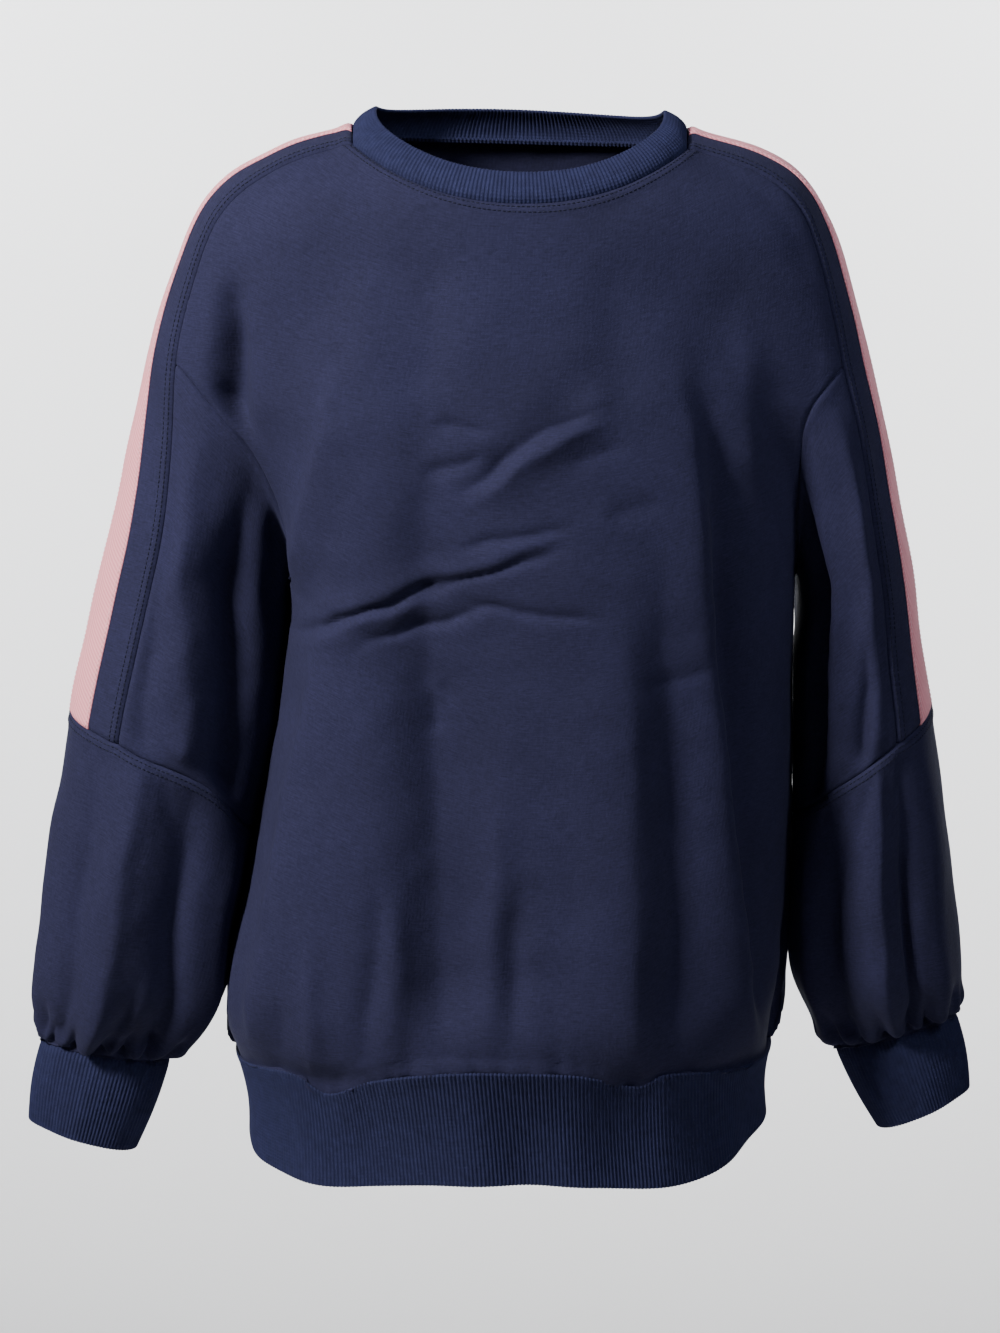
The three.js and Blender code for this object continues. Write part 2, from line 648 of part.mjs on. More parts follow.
// The solid between an outer and an inner skin: flip is 1 or -1, so that the grid's outward side faces
// out.
function shell(outer, inner, ring, flip, share = 1) {
  const skins = flip > 0 ? [reversed(outer), reversed(inner)] : [outer, inner];
  return solidBetween(...skins, ring, share);
}
const reversed = (rows) => [...rows].reverse();

// A piece of body cloth, its edges short of the seams.
function wall(grid, flip, ring = false) {
  const outer = inset(grid, ring, SEAM_INSET.outer);
  const inner = offset(inset(grid, ring, SEAM_INSET.inner), ring, flip, () => -FLEECE);
  return shell(outer, inner, ring, flip);
}

// The tape lies on the middle columns of the panel: their points, moved out.
function tape(grid, flip) {
  const skin = inset(grid, false, SEAM_INSET.outer);
  const [first, last] = ["tape", "-tape"].map((edge) => PANEL_COLUMNS.indexOf(edge));
  const middle = (by) => offset(skin, false, flip, () => by).map((line) => line.slice(first, last + 1));
  return shell(middle(TAPE_LIFT + TAPE), middle(TAPE_LIFT), false, flip);
}

// A ribbed band between two closed lines: ribs raised on the outside over a plain inside.
function ribbedBand([from, to], { ribs, share, bulge }, flip) {
  const grid = (count) => {
    const low = evenly([...from, from[0]], count).slice(0, -1);
    const high = evenly([...to, to[0]], count).slice(0, -1);
    const row = (t) => low.map((p, k) => p.clone().lerp(high[k], t));
    return Array.from({ length: BAND_ROWS + 1 }, (_, i) => row(i / BAND_ROWS));
  };
  const round = (i) => bulge * Math.sin((Math.PI * i) / BAND_ROWS);
  const ribbed = inset(grid(2 * ribs), true, SEAM_INSET.outer);
  const plain = inset(grid((2 * ribs) / share), true, SEAM_INSET.inner);
  const outer = offset(ribbed, true, flip, (k, i) => round(i) + BAND_PROUD - (k % 2 ? RIB_HEIGHT : 0));
  const inner = offset(plain, true, flip, (k, i) => round(i) + BAND_PROUD - RIB_KNIT);
  return shell(outer, inner, true, flip, share);
}

// The neck seam as one closed line, and the band's upper edge over it.
function neckLines(frontGrid, backGrid, rightPanel, leftPanel) {
  const seam = [
    ...frontGrid[frontGrid.length - 1].slice(0, -1),
    ...leftPanel[0].slice(0, -1),
    ...reversed(backGrid[backGrid.length - 1]).slice(0, -1),
    ...reversed(rightPanel[0]).slice(0, -1),
  ];
  const edge = seam.map((p) => {
    const aside = new THREE.Vector3(NECK_MIDDLE.x - p.x, NECK_MIDDLE.y - p.y, 0).normalize();
    const [inwards, up] = [0, 1].map((i) => mix(NECKBAND_RISE.ends[i], NECKBAND_RISE.sides[i], aside.x ** 2));
    return p.clone().addScaledVector(aside, inwards).add(new THREE.Vector3(0, 0, up));
  });
  return [seam, softened(edge, NECK_SOFTENED)];
}

// A closed line with rounder corners: in each pass a point moves halfway to the middle of its
// neighbours.
function softened(line, passes) {
  if (passes === 0) return line;
  const next = line.map((p, k) => {
    const [before, after] = [line.at(k - 1), line[(k + 1) % line.length]];
    return before.clone().add(after).multiplyScalar(0.5).lerp(p, 0.5);
  });
  return softened(next, passes - 1);
}

// The hem seam as one closed line, and the hem's lower edge.
function hemLines(frontGrid, backGrid) {
  const seam = [...frontGrid[0].slice(0, -1), ...reversed(backGrid[0]).slice(0, -1)];
  const edge = Array.from({ length: HEM_FINE }, (_, k) => {
    const turn = k / HEM_FINE;
    const z = smooth(HEM_EDGE.turn, HEM_EDGE.z, turn);
    const [c, d] = [-Math.cos(2 * Math.PI * turn), -Math.sin(2 * Math.PI * turn)];
    const power = 2 / HEM_ROUNDNESS;
    const halfWidth = smooth(TORSO.z, c < 0 ? TORSO.right : TORSO.left, z);
    const depth = smooth(TORSO.z, d < 0 ? TORSO.front : TORSO.back, z);
    return new THREE.Vector3(
      halfWidth * Math.sign(c) * Math.abs(c) ** power,
      depth * Math.sign(d) * Math.abs(d) ** power,
      z,
    );
  });
  return [seam, edge];
}

// The cuff seam and the cuff's lower edge, both from the column over the middle of the panel.
function cuffLines(side, lowerGrid) {
  const seam = lowerGrid[lowerGrid.length - 1];
  const s = CUFF_EDGE[side];
  const edge = seam.map((_, k) => {
    const angle = (2 * Math.PI * (k - OVER_PANEL)) / seam.length;
    return new THREE.Vector3(
      mix((s.ox + s.ix) / 2, s.ox, Math.cos(angle)),
      s.midY - s.depth * Math.sin(angle),
      mix((s.oz + s.iz) / 2, s.oz, Math.cos(angle)),
    );
  });
  return [seam, edge];
}

// Colours and finish
const NAVY = new THREE.MeshStandardMaterial({ color: 0x2b3152, roughness: 0.92, metalness: 0 });
const NAVY_RIB = new THREE.MeshStandardMaterial({ color: 0x272d4c, roughness: 0.95, metalness: 0 });
const PINK = new THREE.MeshStandardMaterial({ color: 0xf0b4bc, roughness: 0.8, metalness: 0 });

const sweatshirt = new THREE.Group();
function add(name, geometry, material) {
  const mesh = new THREE.Mesh(geometry, material);
  mesh.name = name;
  sweatshirt.add(mesh);
}

const bodies = { front: bodyGrid("front"), back: bodyGrid("back") };
add("front", wall(bodies.front, -1), NAVY);
add("back", wall(bodies.back, 1), NAVY);

const panels = { right: panelGrid("right"), left: panelGrid("left") };
for (const side of ["right", "left"]) {
  const flip = side === "right" ? -1 : 1;
  const upper = upperSleeveGrid(side);
  const lower = lowerSleeveGrid(side, panels[side], upper);
  add(side + "_shoulder_panel", wall(panels[side], flip), NAVY);
  add(side + "_tape", tape(panels[side], flip), PINK);
  add(side + "_upper_sleeve", wall(upper, -flip), NAVY);
  add(side + "_lower_sleeve", wall(lower, -flip, true), NAVY);
  add(side + "_cuff", ribbedBand(cuffLines(side, lower), CUFF, -flip), NAVY_RIB);
}

const neck = neckLines(bodies.front, bodies.back, panels.right, panels.left);
add("neckband", ribbedBand(neck, NECKBAND, -1), NAVY_RIB);
add("hem_band", ribbedBand(hemLines(bodies.front, bodies.back), HEM, 1), NAVY_RIB);

export default sweatshirt;
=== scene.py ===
# %% [markdown]
# # A crewneck sweatshirt, worn and hollow
#
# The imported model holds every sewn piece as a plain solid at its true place. This lesson makes the cloth that
# shows: the same form at a finer step, with its folds, gathers, ribs, seams and stitches. Each piece is a grid
# of points worked out with numpy, then given a wall. The other way would be to drape flat patterns with the
# cloth simulation. The worked-out form was chosen because it keeps each seam where the model has it.

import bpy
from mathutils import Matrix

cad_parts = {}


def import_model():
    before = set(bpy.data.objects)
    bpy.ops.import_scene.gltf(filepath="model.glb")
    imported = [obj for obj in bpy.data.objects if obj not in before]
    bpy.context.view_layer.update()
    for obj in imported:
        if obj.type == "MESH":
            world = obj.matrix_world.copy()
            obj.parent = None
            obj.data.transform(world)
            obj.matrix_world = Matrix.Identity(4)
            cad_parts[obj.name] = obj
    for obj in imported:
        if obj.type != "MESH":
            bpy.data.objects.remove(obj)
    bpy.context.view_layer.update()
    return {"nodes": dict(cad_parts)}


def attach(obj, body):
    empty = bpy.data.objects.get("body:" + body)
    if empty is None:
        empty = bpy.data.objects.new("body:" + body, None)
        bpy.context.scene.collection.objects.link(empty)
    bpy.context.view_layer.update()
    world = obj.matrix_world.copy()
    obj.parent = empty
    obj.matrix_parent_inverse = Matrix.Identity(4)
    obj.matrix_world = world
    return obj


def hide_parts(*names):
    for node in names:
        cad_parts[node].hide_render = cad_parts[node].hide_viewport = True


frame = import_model()

import math

import bpy
import numpy as np

print("nodes:", sorted(frame["nodes"]))

# %% [markdown]
# ## Tables and curves
#
# A garment is described by a few sizes at a few places: how wide the body is at the chest, at the waist, at the
# hem. A short table holds them, and a smooth curve through each column gives every height between. A spline from
# a library would do the same. This one is written out because it never swings far from its points.

# %% A table of named columns and a smooth curve
MM = 0.001


def table(columns, rows):
    """The rows as one array for each named column."""
    return dict(zip(columns.split(), np.array(rows, float).T))


def smooth(xs, ys, x):
    """The curve through the points (xs, ys): a cubic between two, its end slopes the mean of their neighbours'."""
    x = np.asarray(x, float)
    slopes = np.gradient(ys, xs)
    slopes[1:-1] = (ys[2:] - ys[:-2]) / (xs[2:] - xs[:-2])
    i = np.clip(np.searchsorted(xs, x) - 1, 0, len(xs) - 2)
    h = xs[i + 1] - xs[i]
    t = np.clip((x - xs[i]) / h, 0, 1)
    t2, t3 = t * t, t * t * t
    ends = (2 * t3 - 3 * t2 + 1) * ys[i] + (3 * t2 - 2 * t3) * ys[i + 1]
    return ends + h * ((t3 - 2 * t2 + t) * slopes[i] + (t3 - t2) * slopes[i + 1])


def mix(a, b, t):
    """The value that lies a share t of the way from a to b."""
    return a + (b - a) * t


# %% [markdown]
# ## The sizes of the garment
#
# The body is a stack of rounded sections. A sleeve is a tube whose sections run from an outer line, over the
# shoulder and down the arm, to an inner line under it. All of these are millimetres in the frame's own axes. They
# are the sizes that the solids have, apart from the body's sides and the end of the left sleeve. There the cloth is
# let out by a few millimetres, to follow how it blouses over the ribbed bands.

# %% Body sizes
TORSO = table("z right left front back roundness", [
    [-690, 175, 169, 121, 104, 2.5],
    [-670, 175, 169, 122, 105, 2.5],
    [-625, 176, 171, 122, 105, 2.5],
    [-600, 184, 173, 126, 108, 2.5],
    [-585, 189, 178.5, 134, 113, 2.5],
    [-560, 190, 185, 139, 116, 2.5],
    [-528, 184, 187, 138, 113, 2.5],
    [-462, 170.5, 187.3, 135, 106, 2.5],
    [-400, 157, 187, 132, 101, 2.5],
    [-350, 148, 186, 131, 99, 2.5],
    [-292, 141.5, 186.5, 130, 99, 2.5],
    [-250, 150, 188, 128, 100, 2.4],
    [-200, 170, 193, 123, 101, 2.2],
    [-160, 186, 197, 116, 100, 2.1],
    [-120, 194, 197, 107, 97, 2],
    [-80, 186, 188, 97, 90, 2],
    [-44, 162, 166, 86, 80, 2.1],
    [-13, 112, 118, 64, 68, 2.3],
    [10, 88, 96, 45, 50, 2.5],
])
HEM_ROUNDNESS = 2.5
FRONT_NECK_DROP = 33
BACK_NECK_DROP = 2
HEM_SEAM = {
    "front": table("x z", [
        [-180, -608], [-160, -602], [-138, -600], [-116, -610], [-88, -597], [-44, -588],
        [2, -587], [44, -590], [82, -601], [98, -594], [136, -599], [175, -604],
    ]),
    "back": table("x z", [
        [-180, -608], [-140, -599], [-95, -607], [-45, -596], [10, -600], [60, -594], [110, -605], [175, -604],
    ]),
}
HEM_EDGE = table("turn z", [
    [0, -664], [0.07, -669], [0.15, -671], [0.24, -663], [0.34, -670], [0.42, -659], [0.5, -652],
    [0.62, -662], [0.75, -660], [0.88, -666], [1, -664],
])

# %% Sleeve sizes
STATION_COLUMNS = "outerX outerZ innerX innerZ midY halfDepth"
SLEEVE = {
    "right": table(STATION_COLUMNS, [
        [-100, 1, -86, -120, 0, 62],
        [-134, -8, -104, -128, 0, 64],
        [-158, -18, -112, -134, 0, 64],
        [-177, -29, -114, -140, 0, 63],
        [-192, -43, -113, -146, 0, 62],
        [-202, -59, -111, -152, 0, 61],
        [-211, -80, -108, -160, 0, 60],
        [-222, -110, -106, -172, 0, 59],
        [-232, -142, -108, -188, 0, 58],
        [-243, -190, -118, -218, 0, 57],
        [-256, -243, -132, -258, 0, 57],
        [-267, -285, -142, -296, 0, 57],
        [-278, -330, -147, -345, -3, 58],
        [-288, -373, -155, -394, -6, 58],
        [-298, -441, -168.5, -458, -10, 59],
        [-308, -508, -181.8, -519, -14, 58],
        [-314, -553, -188, -562, -16, 53],
        [-315, -578, -204, -591, -17, 43],
        [-314, -591, -218, -605, -17, 30],
        [-312, -597, -227, -612, -17, 23],
    ]),
    "left": table(STATION_COLUMNS, [
        [113, -1, 96, -120, 0, 62],
        [140, -8, 110, -126, 0, 64],
        [161, -15, 118, -132, 0, 64],
        [179, -25, 122, -138, 0, 64],
        [192, -38, 122, -145, 0, 64],
        [201, -53, 121, -151, 0, 64],
        [210, -74, 121, -159, 0, 65],
        [220, -105, 125, -172, 0, 66],
        [229, -138, 138, -186, 1, 67],
        [241, -184, 161, -214, 3, 69],
        [253, -240, 179, -256, 5, 70],
        [263, -288, 189, -296, 6, 70],
        [270, -333, 187, -347, 7, 70],
        [278, -375, 187.5, -396, 7, 69],
        [289, -441, 188, -460, 6, 66],
        [298, -508, 187.2, -519, 4, 62],
        [303, -550, 188.5, -557, 2, 55],
        [303, -568, 199, -585, 0, 43],
        [301, -579, 209, -602, -2, 30],
        [299, -584, 218, -608, -2, 23],
    ]),
}
INDEX = np.arange(len(SLEEVE["right"]["outerX"]), dtype=float)
LAST_STATION = INDEX[-1]
SLEEVE_ROUNDNESS = {"right": 2.15, "left": 1.95}
CUFF_EDGE = {
    "right": {"outer": (-322, -655), "inner": (-250, -676), "midY": -20, "depth": 20},
    "left": {"outer": (309, -638), "inner": (247, -666), "midY": -6, "depth": 20},
}

# %% Seam and panel sizes
ARMHOLE = table("degrees right left", [
    [30, -141, -141],
    [51, -148, -146],
    [74, -168, -160],
    [98, -195, -180],
    [118, -222, -207],
    [142, -254, -246],
    [180, -291, -290],
])
ELBOW = table("degrees right left", [
    [0, -372, -370],
    [40, -378, -376],
    [80, -397, -396],
    [120, -420, -420],
    [150, -446, -440],
    [180, -458, -452],
])
PANEL = table("station halfWidth right left", [
    [0, 38, 0, 0],
    [4, 42, 3, 3],
    [7, 42, 5, 12],
    [8, 42, 9, 17],
    [9, 42, 18, 22],
    [10, 42, 26, 28],
    [11, 42, 28, 31],
    [14, 42, 28, 32],
])
TAPE_HALF_WIDTH = 17
UNDERARM_HEIGHT = -290
AT_SEAM = 0.9995  # the share of the half-width where the body's wall is cut at its side seam
HIGHEST_STATION = {"armhole": 12, "elbow": 17}  # how far down a sleeve each seam is looked for
FILLET = {"chest": 36, "underarm": 2, "over": 120}
NECKBAND_RISE = {"sides": (14, 13), "ends": (9, 17.5)}
NECK_MIDDLE = (6, -8)

# %% [markdown]
# ## The form
#
# Seen from the front, the cloth of a worn sweatshirt lies on whichever stands further out: the chest or the arm.
# So the form is the larger of two heights, with a fillet between them that is wide over the chest and gone at the
# underarm. A union of two meshes would give a hard edge there. A smooth maximum of two formulas doesn't.

# %% The body's height and a sleeve's sections


def rounded(r, power):
    """How far a rounded section stands out at a share r of its half-width: 1 in the middle, falling past 1."""
    return np.where(r >= 1, -4 * (r - 1), (1 - np.minimum(r, 1) ** power) ** (1 / power))


def torso_height(x, z, face):
    """The share of the half-width at x, the depth at z, and their height: the depth times the rounded profile."""
    right, left = (smooth(TORSO["z"], TORSO[side], z) for side in ("right", "left"))
    depth = smooth(TORSO["z"], TORSO[face], z)
    share = np.abs(x) / np.where(x < 0, right, left)
    return share, depth, depth * rounded(share, smooth(TORSO["z"], TORSO["roundness"], z))


def section(side, station):
    """The outer and inner points, the middle and the half-depth of a sleeve's section, by smooth curves."""
    return {key: smooth(INDEX, SLEEVE[side][key], station) for key in STATION_COLUMNS.split()}


def joined(arm, torso, z):
    """The larger of two heights, plus a parabola-shaped fillet where they are within its width of each other."""
    width = mix(FILLET["underarm"], FILLET["chest"], np.clip((z - UNDERARM_HEIGHT) / FILLET["over"], 0, 1))
    share = np.clip(0.5 + 0.5 * (arm - torso) / width, 0, 1)
    return mix(torso, arm, share) + width * share * (1 - share)


def sleeve_skin(side, station, angle):
    """A point of a sleeve: round its section by an angle from the outer line, its depth joined with the torso's."""
    s = section(side, station)
    power = 2 / SLEEVE_ROUNDNESS[side]
    c = np.sign(np.cos(angle)) * np.abs(np.cos(angle)) ** power
    x = mix(s["innerX"], s["outerX"], (1 + c) / 2)
    z = mix(s["innerZ"], s["outerZ"], (1 + c) / 2)
    front = np.sin(angle) >= 0
    sign = np.where(front, -1, 1)
    arm = s["halfDepth"] * np.abs(np.sin(angle)) ** power + sign * s["midY"]
    torso = np.where(front, torso_height(x, z, "front")[2], torso_height(x, z, "back")[2])
    return np.stack([x, sign * np.where(z > UNDERARM_HEIGHT, joined(arm, torso, z), arm), z], -1)


# %% The front and back as heights over the X and Z plane


def bisect(low, high, is_low, steps=26):
    """Halves the range between low and high until it closes on the place where is_low turns from true to false."""
    for _ in range(steps):
        middle = (low + high) / 2
        below = is_low(middle)
        low, high = np.where(below, middle, low), np.where(below, high, middle)
    return (low + high) / 2


def arm_height(side, x, z, sign):
    """The sleeve's height at (x, z): finds the section whose line passes there, and the place across it."""
    out = 1 if side == "left" else -1

    def before(station):
        s = section(side, station)
        cross = (x - s["innerX"]) * (s["outerZ"] - s["innerZ"]) - (z - s["innerZ"]) * (s["outerX"] - s["innerX"])
        return cross * out > 0

    low = np.zeros_like(x)
    station = np.where(before(low), bisect(low, low + 13, before), 0)
    s = section(side, station)
    dx, dz = (s["outerX"] - s["innerX"]) / 2, (s["outerZ"] - s["innerZ"]) / 2
    across = ((x - s["innerX"] - dx) * dx + (z - s["innerZ"] - dz) * dz) / (dx * dx + dz * dz)
    return s["halfDepth"] * rounded(np.abs(across), SLEEVE_ROUNDNESS[side]) + sign * s["midY"]


def body_skin(x, z, face):
    """The front or back: above the underarm the joined height of torso and sleeve, below it the torso's alone."""
    sign = -1 if face == "front" else 1
    share, depth, torso = torso_height(x, z, face)
    arm = np.where(x < 0, arm_height("right", x, z, sign), arm_height("left", x, z, sign))
    at_seam = depth * rounded(np.array(AT_SEAM), HEM_ROUNDNESS)
    below = np.where(share > AT_SEAM, at_seam, torso)
    return np.stack([x, sign * np.where(z > UNDERARM_HEIGHT, joined(arm, torso, z), below), z], -1)


# %% [markdown]
# ## Seams
#
# Pieces that are sewn together share a line. Each line is worked out once and handed to both pieces, so the cloth
# meets with no gap. Round the armhole the seam is a height for each angle round the sleeve. Along the panel it
# is a distance from the sleeve's outer line, measured on the cloth as a tailor's tape would.

# %% Arc lengths round a section
STEPS = {"side": 102, "armhole": 80, "shoulder": 54, "arm": 76, "across": 164, "panel": 4, "lower": 84}
SECTION_ANGLES = np.linspace(-2.4, 2.4, 241)
PANEL_KNOTS = np.array([-1, -0.66, -0.31, 0, 0.31, 0.66, 1])  # panel columns; the tape's edges are at 0.31
UNDERARM_ROUNDING = {"passes": 14, "rows": 9}


def angle_at_arc(side, stations, arcs):
    """The angles at which sections reach the given arc lengths from their outer line, by summing short chords."""
    stations, arcs = np.broadcast_arrays(np.atleast_1d(stations), np.atleast_1d(arcs))
    points = sleeve_skin(side, stations[:, None], SECTION_ANGLES[None, :])
    lengths = np.cumsum(np.linalg.norm(np.diff(points, axis=1, prepend=points[:, :1]), axis=2), axis=1)
    middle = len(SECTION_ANGLES) // 2
    lengths -= lengths[:, middle:middle + 1]
    return np.array([np.interp(arc, line, SECTION_ANGLES) for arc, line in zip(arcs, lengths)])


def panel_arc(side, station, column):
    """The distance of a panel column from the outer line. A column runs from 1, the front edge, to -1."""
    half = smooth(PANEL["station"], PANEL["halfWidth"], station)
    tape = TAPE_HALF_WIDTH
    reach = [-half, -0.66 * half, -tape, 0 * half, tape, 0.66 * half, half]
    aside = sum(np.interp(column, PANEL_KNOTS, np.eye(len(reach))[i]) * r for i, r in enumerate(reach))
    return smooth(PANEL["station"], PANEL[side], station) + aside


def station_at(side, angle, height, high):
    """The station where a sleeve's skin at this angle comes down to this height."""
    low = np.zeros_like(angle)
    return bisect(low, low + high, lambda s: sleeve_skin(side, s, angle)[..., 2] > height)


def wrap(angle):
    """The same angle between minus and plus half a turn."""
    return np.where(angle > np.pi, angle - 2 * np.pi, angle)


def seam_station(side, seam, angle, high):
    """The station of a seam that is given as a height for each angle."""
    angle = wrap(np.atleast_1d(np.asarray(angle, float)))
    height = smooth(np.radians(seam["degrees"]), seam[side], np.abs(angle))
    return station_at(side, angle, height, high)


# %% Every seam point of one side


def panel_edge(side, column):
    """One long edge of the trim panel: its stations and angles, from the neck past the armhole to the elbow."""
    corners = []
    for seam, high in ((ARMHOLE, HIGHEST_STATION["armhole"]), (ELBOW, HIGHEST_STATION["elbow"])):
        station = 9.0
        for _ in range(30):
            angle = angle_at_arc(side, station, panel_arc(side, station, column))
            station = mix(station, float(seam_station(side, seam, angle, high)[0]), 0.7)
        corners.append(station)
    shoulder = np.linspace(0, corners[0], STEPS["shoulder"] + 1)[:-1]
    stations = np.concatenate([shoulder, np.linspace(*corners, STEPS["arm"] + 1)])
    return stations, angle_at_arc(side, stations, panel_arc(side, stations, column))


def seams_of(side):
    """The panel's two edges and the armhole, whose columns run from the front edge under the arm to the back."""
    front, back = panel_edge(side, 1), panel_edge(side, -1)
    corner = STEPS["shoulder"]
    start, end = front[1][corner], 2 * np.pi + back[1][corner]
    under = np.linspace(start, np.pi, STEPS["armhole"] + 1)
    round_it = np.concatenate([under[:-1], np.linspace(np.pi, end, STEPS["armhole"] + 1)])
    armhole = seam_station(side, ARMHOLE, round_it, HIGHEST_STATION["armhole"])
    return {"front": front, "back": back, "round": round_it, "armhole": armhole}


SEAMS = {side: seams_of(side) for side in ("right", "left")}
for side in SEAMS:
    print(side, "panel runs to station", SEAMS[side]["front"][0][-1].round(2))

# %% [markdown]
# ## Grids of the sewn pieces
#
# Every piece is a grid of points on the form between its seams. The rows of the front and back run from side to
# side and the panel's and sleeve's rows run round the arm. Even steps along each row keep the knit's texture from
# stretching.

# %% Front and back


def evenly(rows, count):
    """Each row resampled at equal steps along its own length."""
    steps = np.linalg.norm(np.diff(rows, axis=1, prepend=rows[:, :1]), axis=2)
    lengths = np.cumsum(steps, axis=1)
    wanted = np.linspace(0, 1, count + 1)
    at = [[np.interp(wanted * along[-1], along, row[:, i]) for i in range(3)] for along, row in zip(lengths, rows)]
    return np.transpose(np.array(at), (0, 2, 1))


def body_edge(side, face):
    """The outer edge from the hem up the side seam, round the armhole and along the panel to the neck."""
    seams = SEAMS[side]
    sign = -1 if side == "right" else 1
    foot = HEM_SEAM[face]["z"][0 if side == "right" else -1]
    armhole = sleeve_skin(side, seams["armhole"], wrap(seams["round"]))
    middle = STEPS["armhole"]
    z = mix(foot, armhole[middle, 2], np.linspace(0, 1, STEPS["side"] + 1)[:-1] ** 0.85)
    seam = np.stack([sign * smooth(TORSO["z"], TORSO[side], z), 0 * z, z], -1)
    up = armhole[middle::-1] if face == "front" else armhole[middle:]
    stations, angles = seams[face]
    shoulder = slice(STEPS["shoulder"] - 1, None, -1)
    return np.concatenate([seam, up, sleeve_skin(side, stations[shoulder], angles[shoulder])])


def body_grid(face):
    """Rows from the hem to the neck: each runs between the side edges, its middle moved towards an even height.

    At the underarm the edge turns a corner, so the rows near it are averaged with their neighbours a few times.
    """
    right, left = body_edge("right", face), body_edge("left", face)
    rows = len(right)
    share = np.linspace(0, 1, rows)
    height = (right[:, 2] + left[:, 2]) / 2
    drop = FRONT_NECK_DROP if face == "front" else BACK_NECK_DROP
    even = mix(height[0], height[-1] - drop, share)
    middle = mix(height, even, mix(0.75, 1, np.clip((share - 0.8) / 0.2, 0, 1)))
    to_hem = np.clip(1 - 8 * share, 0, 1)[:, None]
    neck_from = STEPS["side"] + STEPS["armhole"]
    to_neck = np.clip((np.arange(rows) - neck_from) / STEPS["shoulder"], 0, 1)[:, None]
    s = (1 - np.cos(np.linspace(0, np.pi, 241)))[None, :] / 2
    x = mix(right[:, :1], left[:, :1], s)
    lift = (middle - height)[:, None] * (1 - np.abs(2 * s - 1) ** 2.2) ** mix(1.7, 1, to_neck)
    z = mix(right[:, 2:], left[:, 2:], s) + lift
    seam = smooth(HEM_SEAM[face]["x"], HEM_SEAM[face]["z"], x)
    path = body_skin(x, mix(z, seam, to_hem), face)
    path[:, 0], path[:, -1] = right, left
    grid = evenly(path, STEPS["across"])
    from_corner = (np.arange(rows) - STEPS["side"]) / UNDERARM_ROUNDING["rows"]
    near = np.exp(-(from_corner**2))[1:-1, None, None] / 2
    for _ in range(UNDERARM_ROUNDING["passes"]):
        grid[1:-1, 1:-1] = mix(grid[1:-1, 1:-1], (grid[:-2, 1:-1] + grid[2:, 1:-1]) / 2, near)
    return grid


# %% Shoulder panel, upper sleeve and lower sleeve


def panel_columns():
    """The panel's columns from its front edge to its back edge, with the tape's edges among them."""
    knots = PANEL_KNOTS[::-1]
    fine = np.linspace(0, len(knots) - 1, STEPS["panel"] * (len(knots) - 1) + 1)
    return np.interp(fine, np.arange(len(knots)), knots)


def panel_places(side):
    """The station and angle of every panel point: rows from the neck to the elbow seam."""
    (front, _), (back, _) = SEAMS[side]["front"], SEAMS[side]["back"]
    columns = panel_columns()
    share = np.linspace(0, 1, len(columns))
    station = mix(front[:, None], back[:, None], share[None, :])
    angle = np.stack([
        angle_at_arc(side, station[:, k], panel_arc(side, station[:, k], c)) for k, c in enumerate(columns)
    ], -1)
    return station, angle


def upper_places(side):
    """The station and angle of every upper sleeve point: rows from the armhole to the elbow seam."""
    seams = SEAMS[side]
    corner = STEPS["shoulder"]
    front, back = ([values[corner:, None] for values in seams[face]] for face in ("front", "back"))
    first = seams["round"][None, :]
    half = STEPS["armhole"]
    start, end = first[0, 0], first[0, -1]
    on_front = np.arange(2 * half + 1)[None, :] <= half
    share = np.where(on_front, (first - start) / (np.pi - start), (first - np.pi) / (end - np.pi))
    angle = np.where(on_front, mix(front[1], np.pi, share), mix(np.pi, 2 * np.pi + back[1], share))
    t = np.linspace(0, 1, STEPS["arm"] + 1)[:, None]
    low = seam_station(side, ELBOW, angle[-1], HIGHEST_STATION["elbow"])[None, :]
    station = mix(seams["armhole"][None, :], low, t)
    station[:, :1], station[:, -1:] = front[0], back[0]
    angle[:, :1], angle[:, -1:] = front[1], 2 * np.pi + back[1]
    return station, angle


def lower_places(side, panel, upper):
    """The lower sleeve's rings: they start at the elbow seam's own points and end evenly spread at the cuff."""
    inner = slice(-2, 0, -1)
    station = np.concatenate([panel[0][-1, inner], upper[0][-1]])
    angle = np.concatenate([panel[1][-1, inner], upper[1][-1]])
    count = len(angle)
    middle = STEPS["panel"] * 3 - 1
    spread = 2 * np.pi * (np.arange(count) - middle) / count
    t = 1 - (1 - np.linspace(0, 1, STEPS["lower"] + 1)[:, None]) ** 1.5
    return mix(station[None, :], LAST_STATION, t), mix(angle[None, :], spread[None, :], t * t)


PLACES = {}
for side in ("right", "left"):
    panel, upper = panel_places(side), upper_places(side)
    PLACES[side] = {"panel": panel, "upper": upper, "lower": lower_places(side, panel, upper)}
GRIDS = {face: body_grid(face) for face in ("front", "back")}
for side, places in PLACES.items():
    for part, (station, angle) in places.items():
        GRIDS[side, part] = sleeve_skin(side, station, wrap(angle))
print({str(key): grid.shape[:2] for key, grid in GRIDS.items()})

# %% [markdown]
# ## Folds
#
# Heavy sweatshirt cloth hangs in a few broad ridges with soft troughs beside them, and it creases sharply only
# where it is squeezed. Each fold is one row of a table: where it starts and ends, how far it bows aside, how wide
# it is on either flank, how high it stands and how sharp its crest is. The back's are of the same kinds in
# other places. The points move along the surface's own normal and not along one axis, so a fold near the side
# seam keeps its shape.

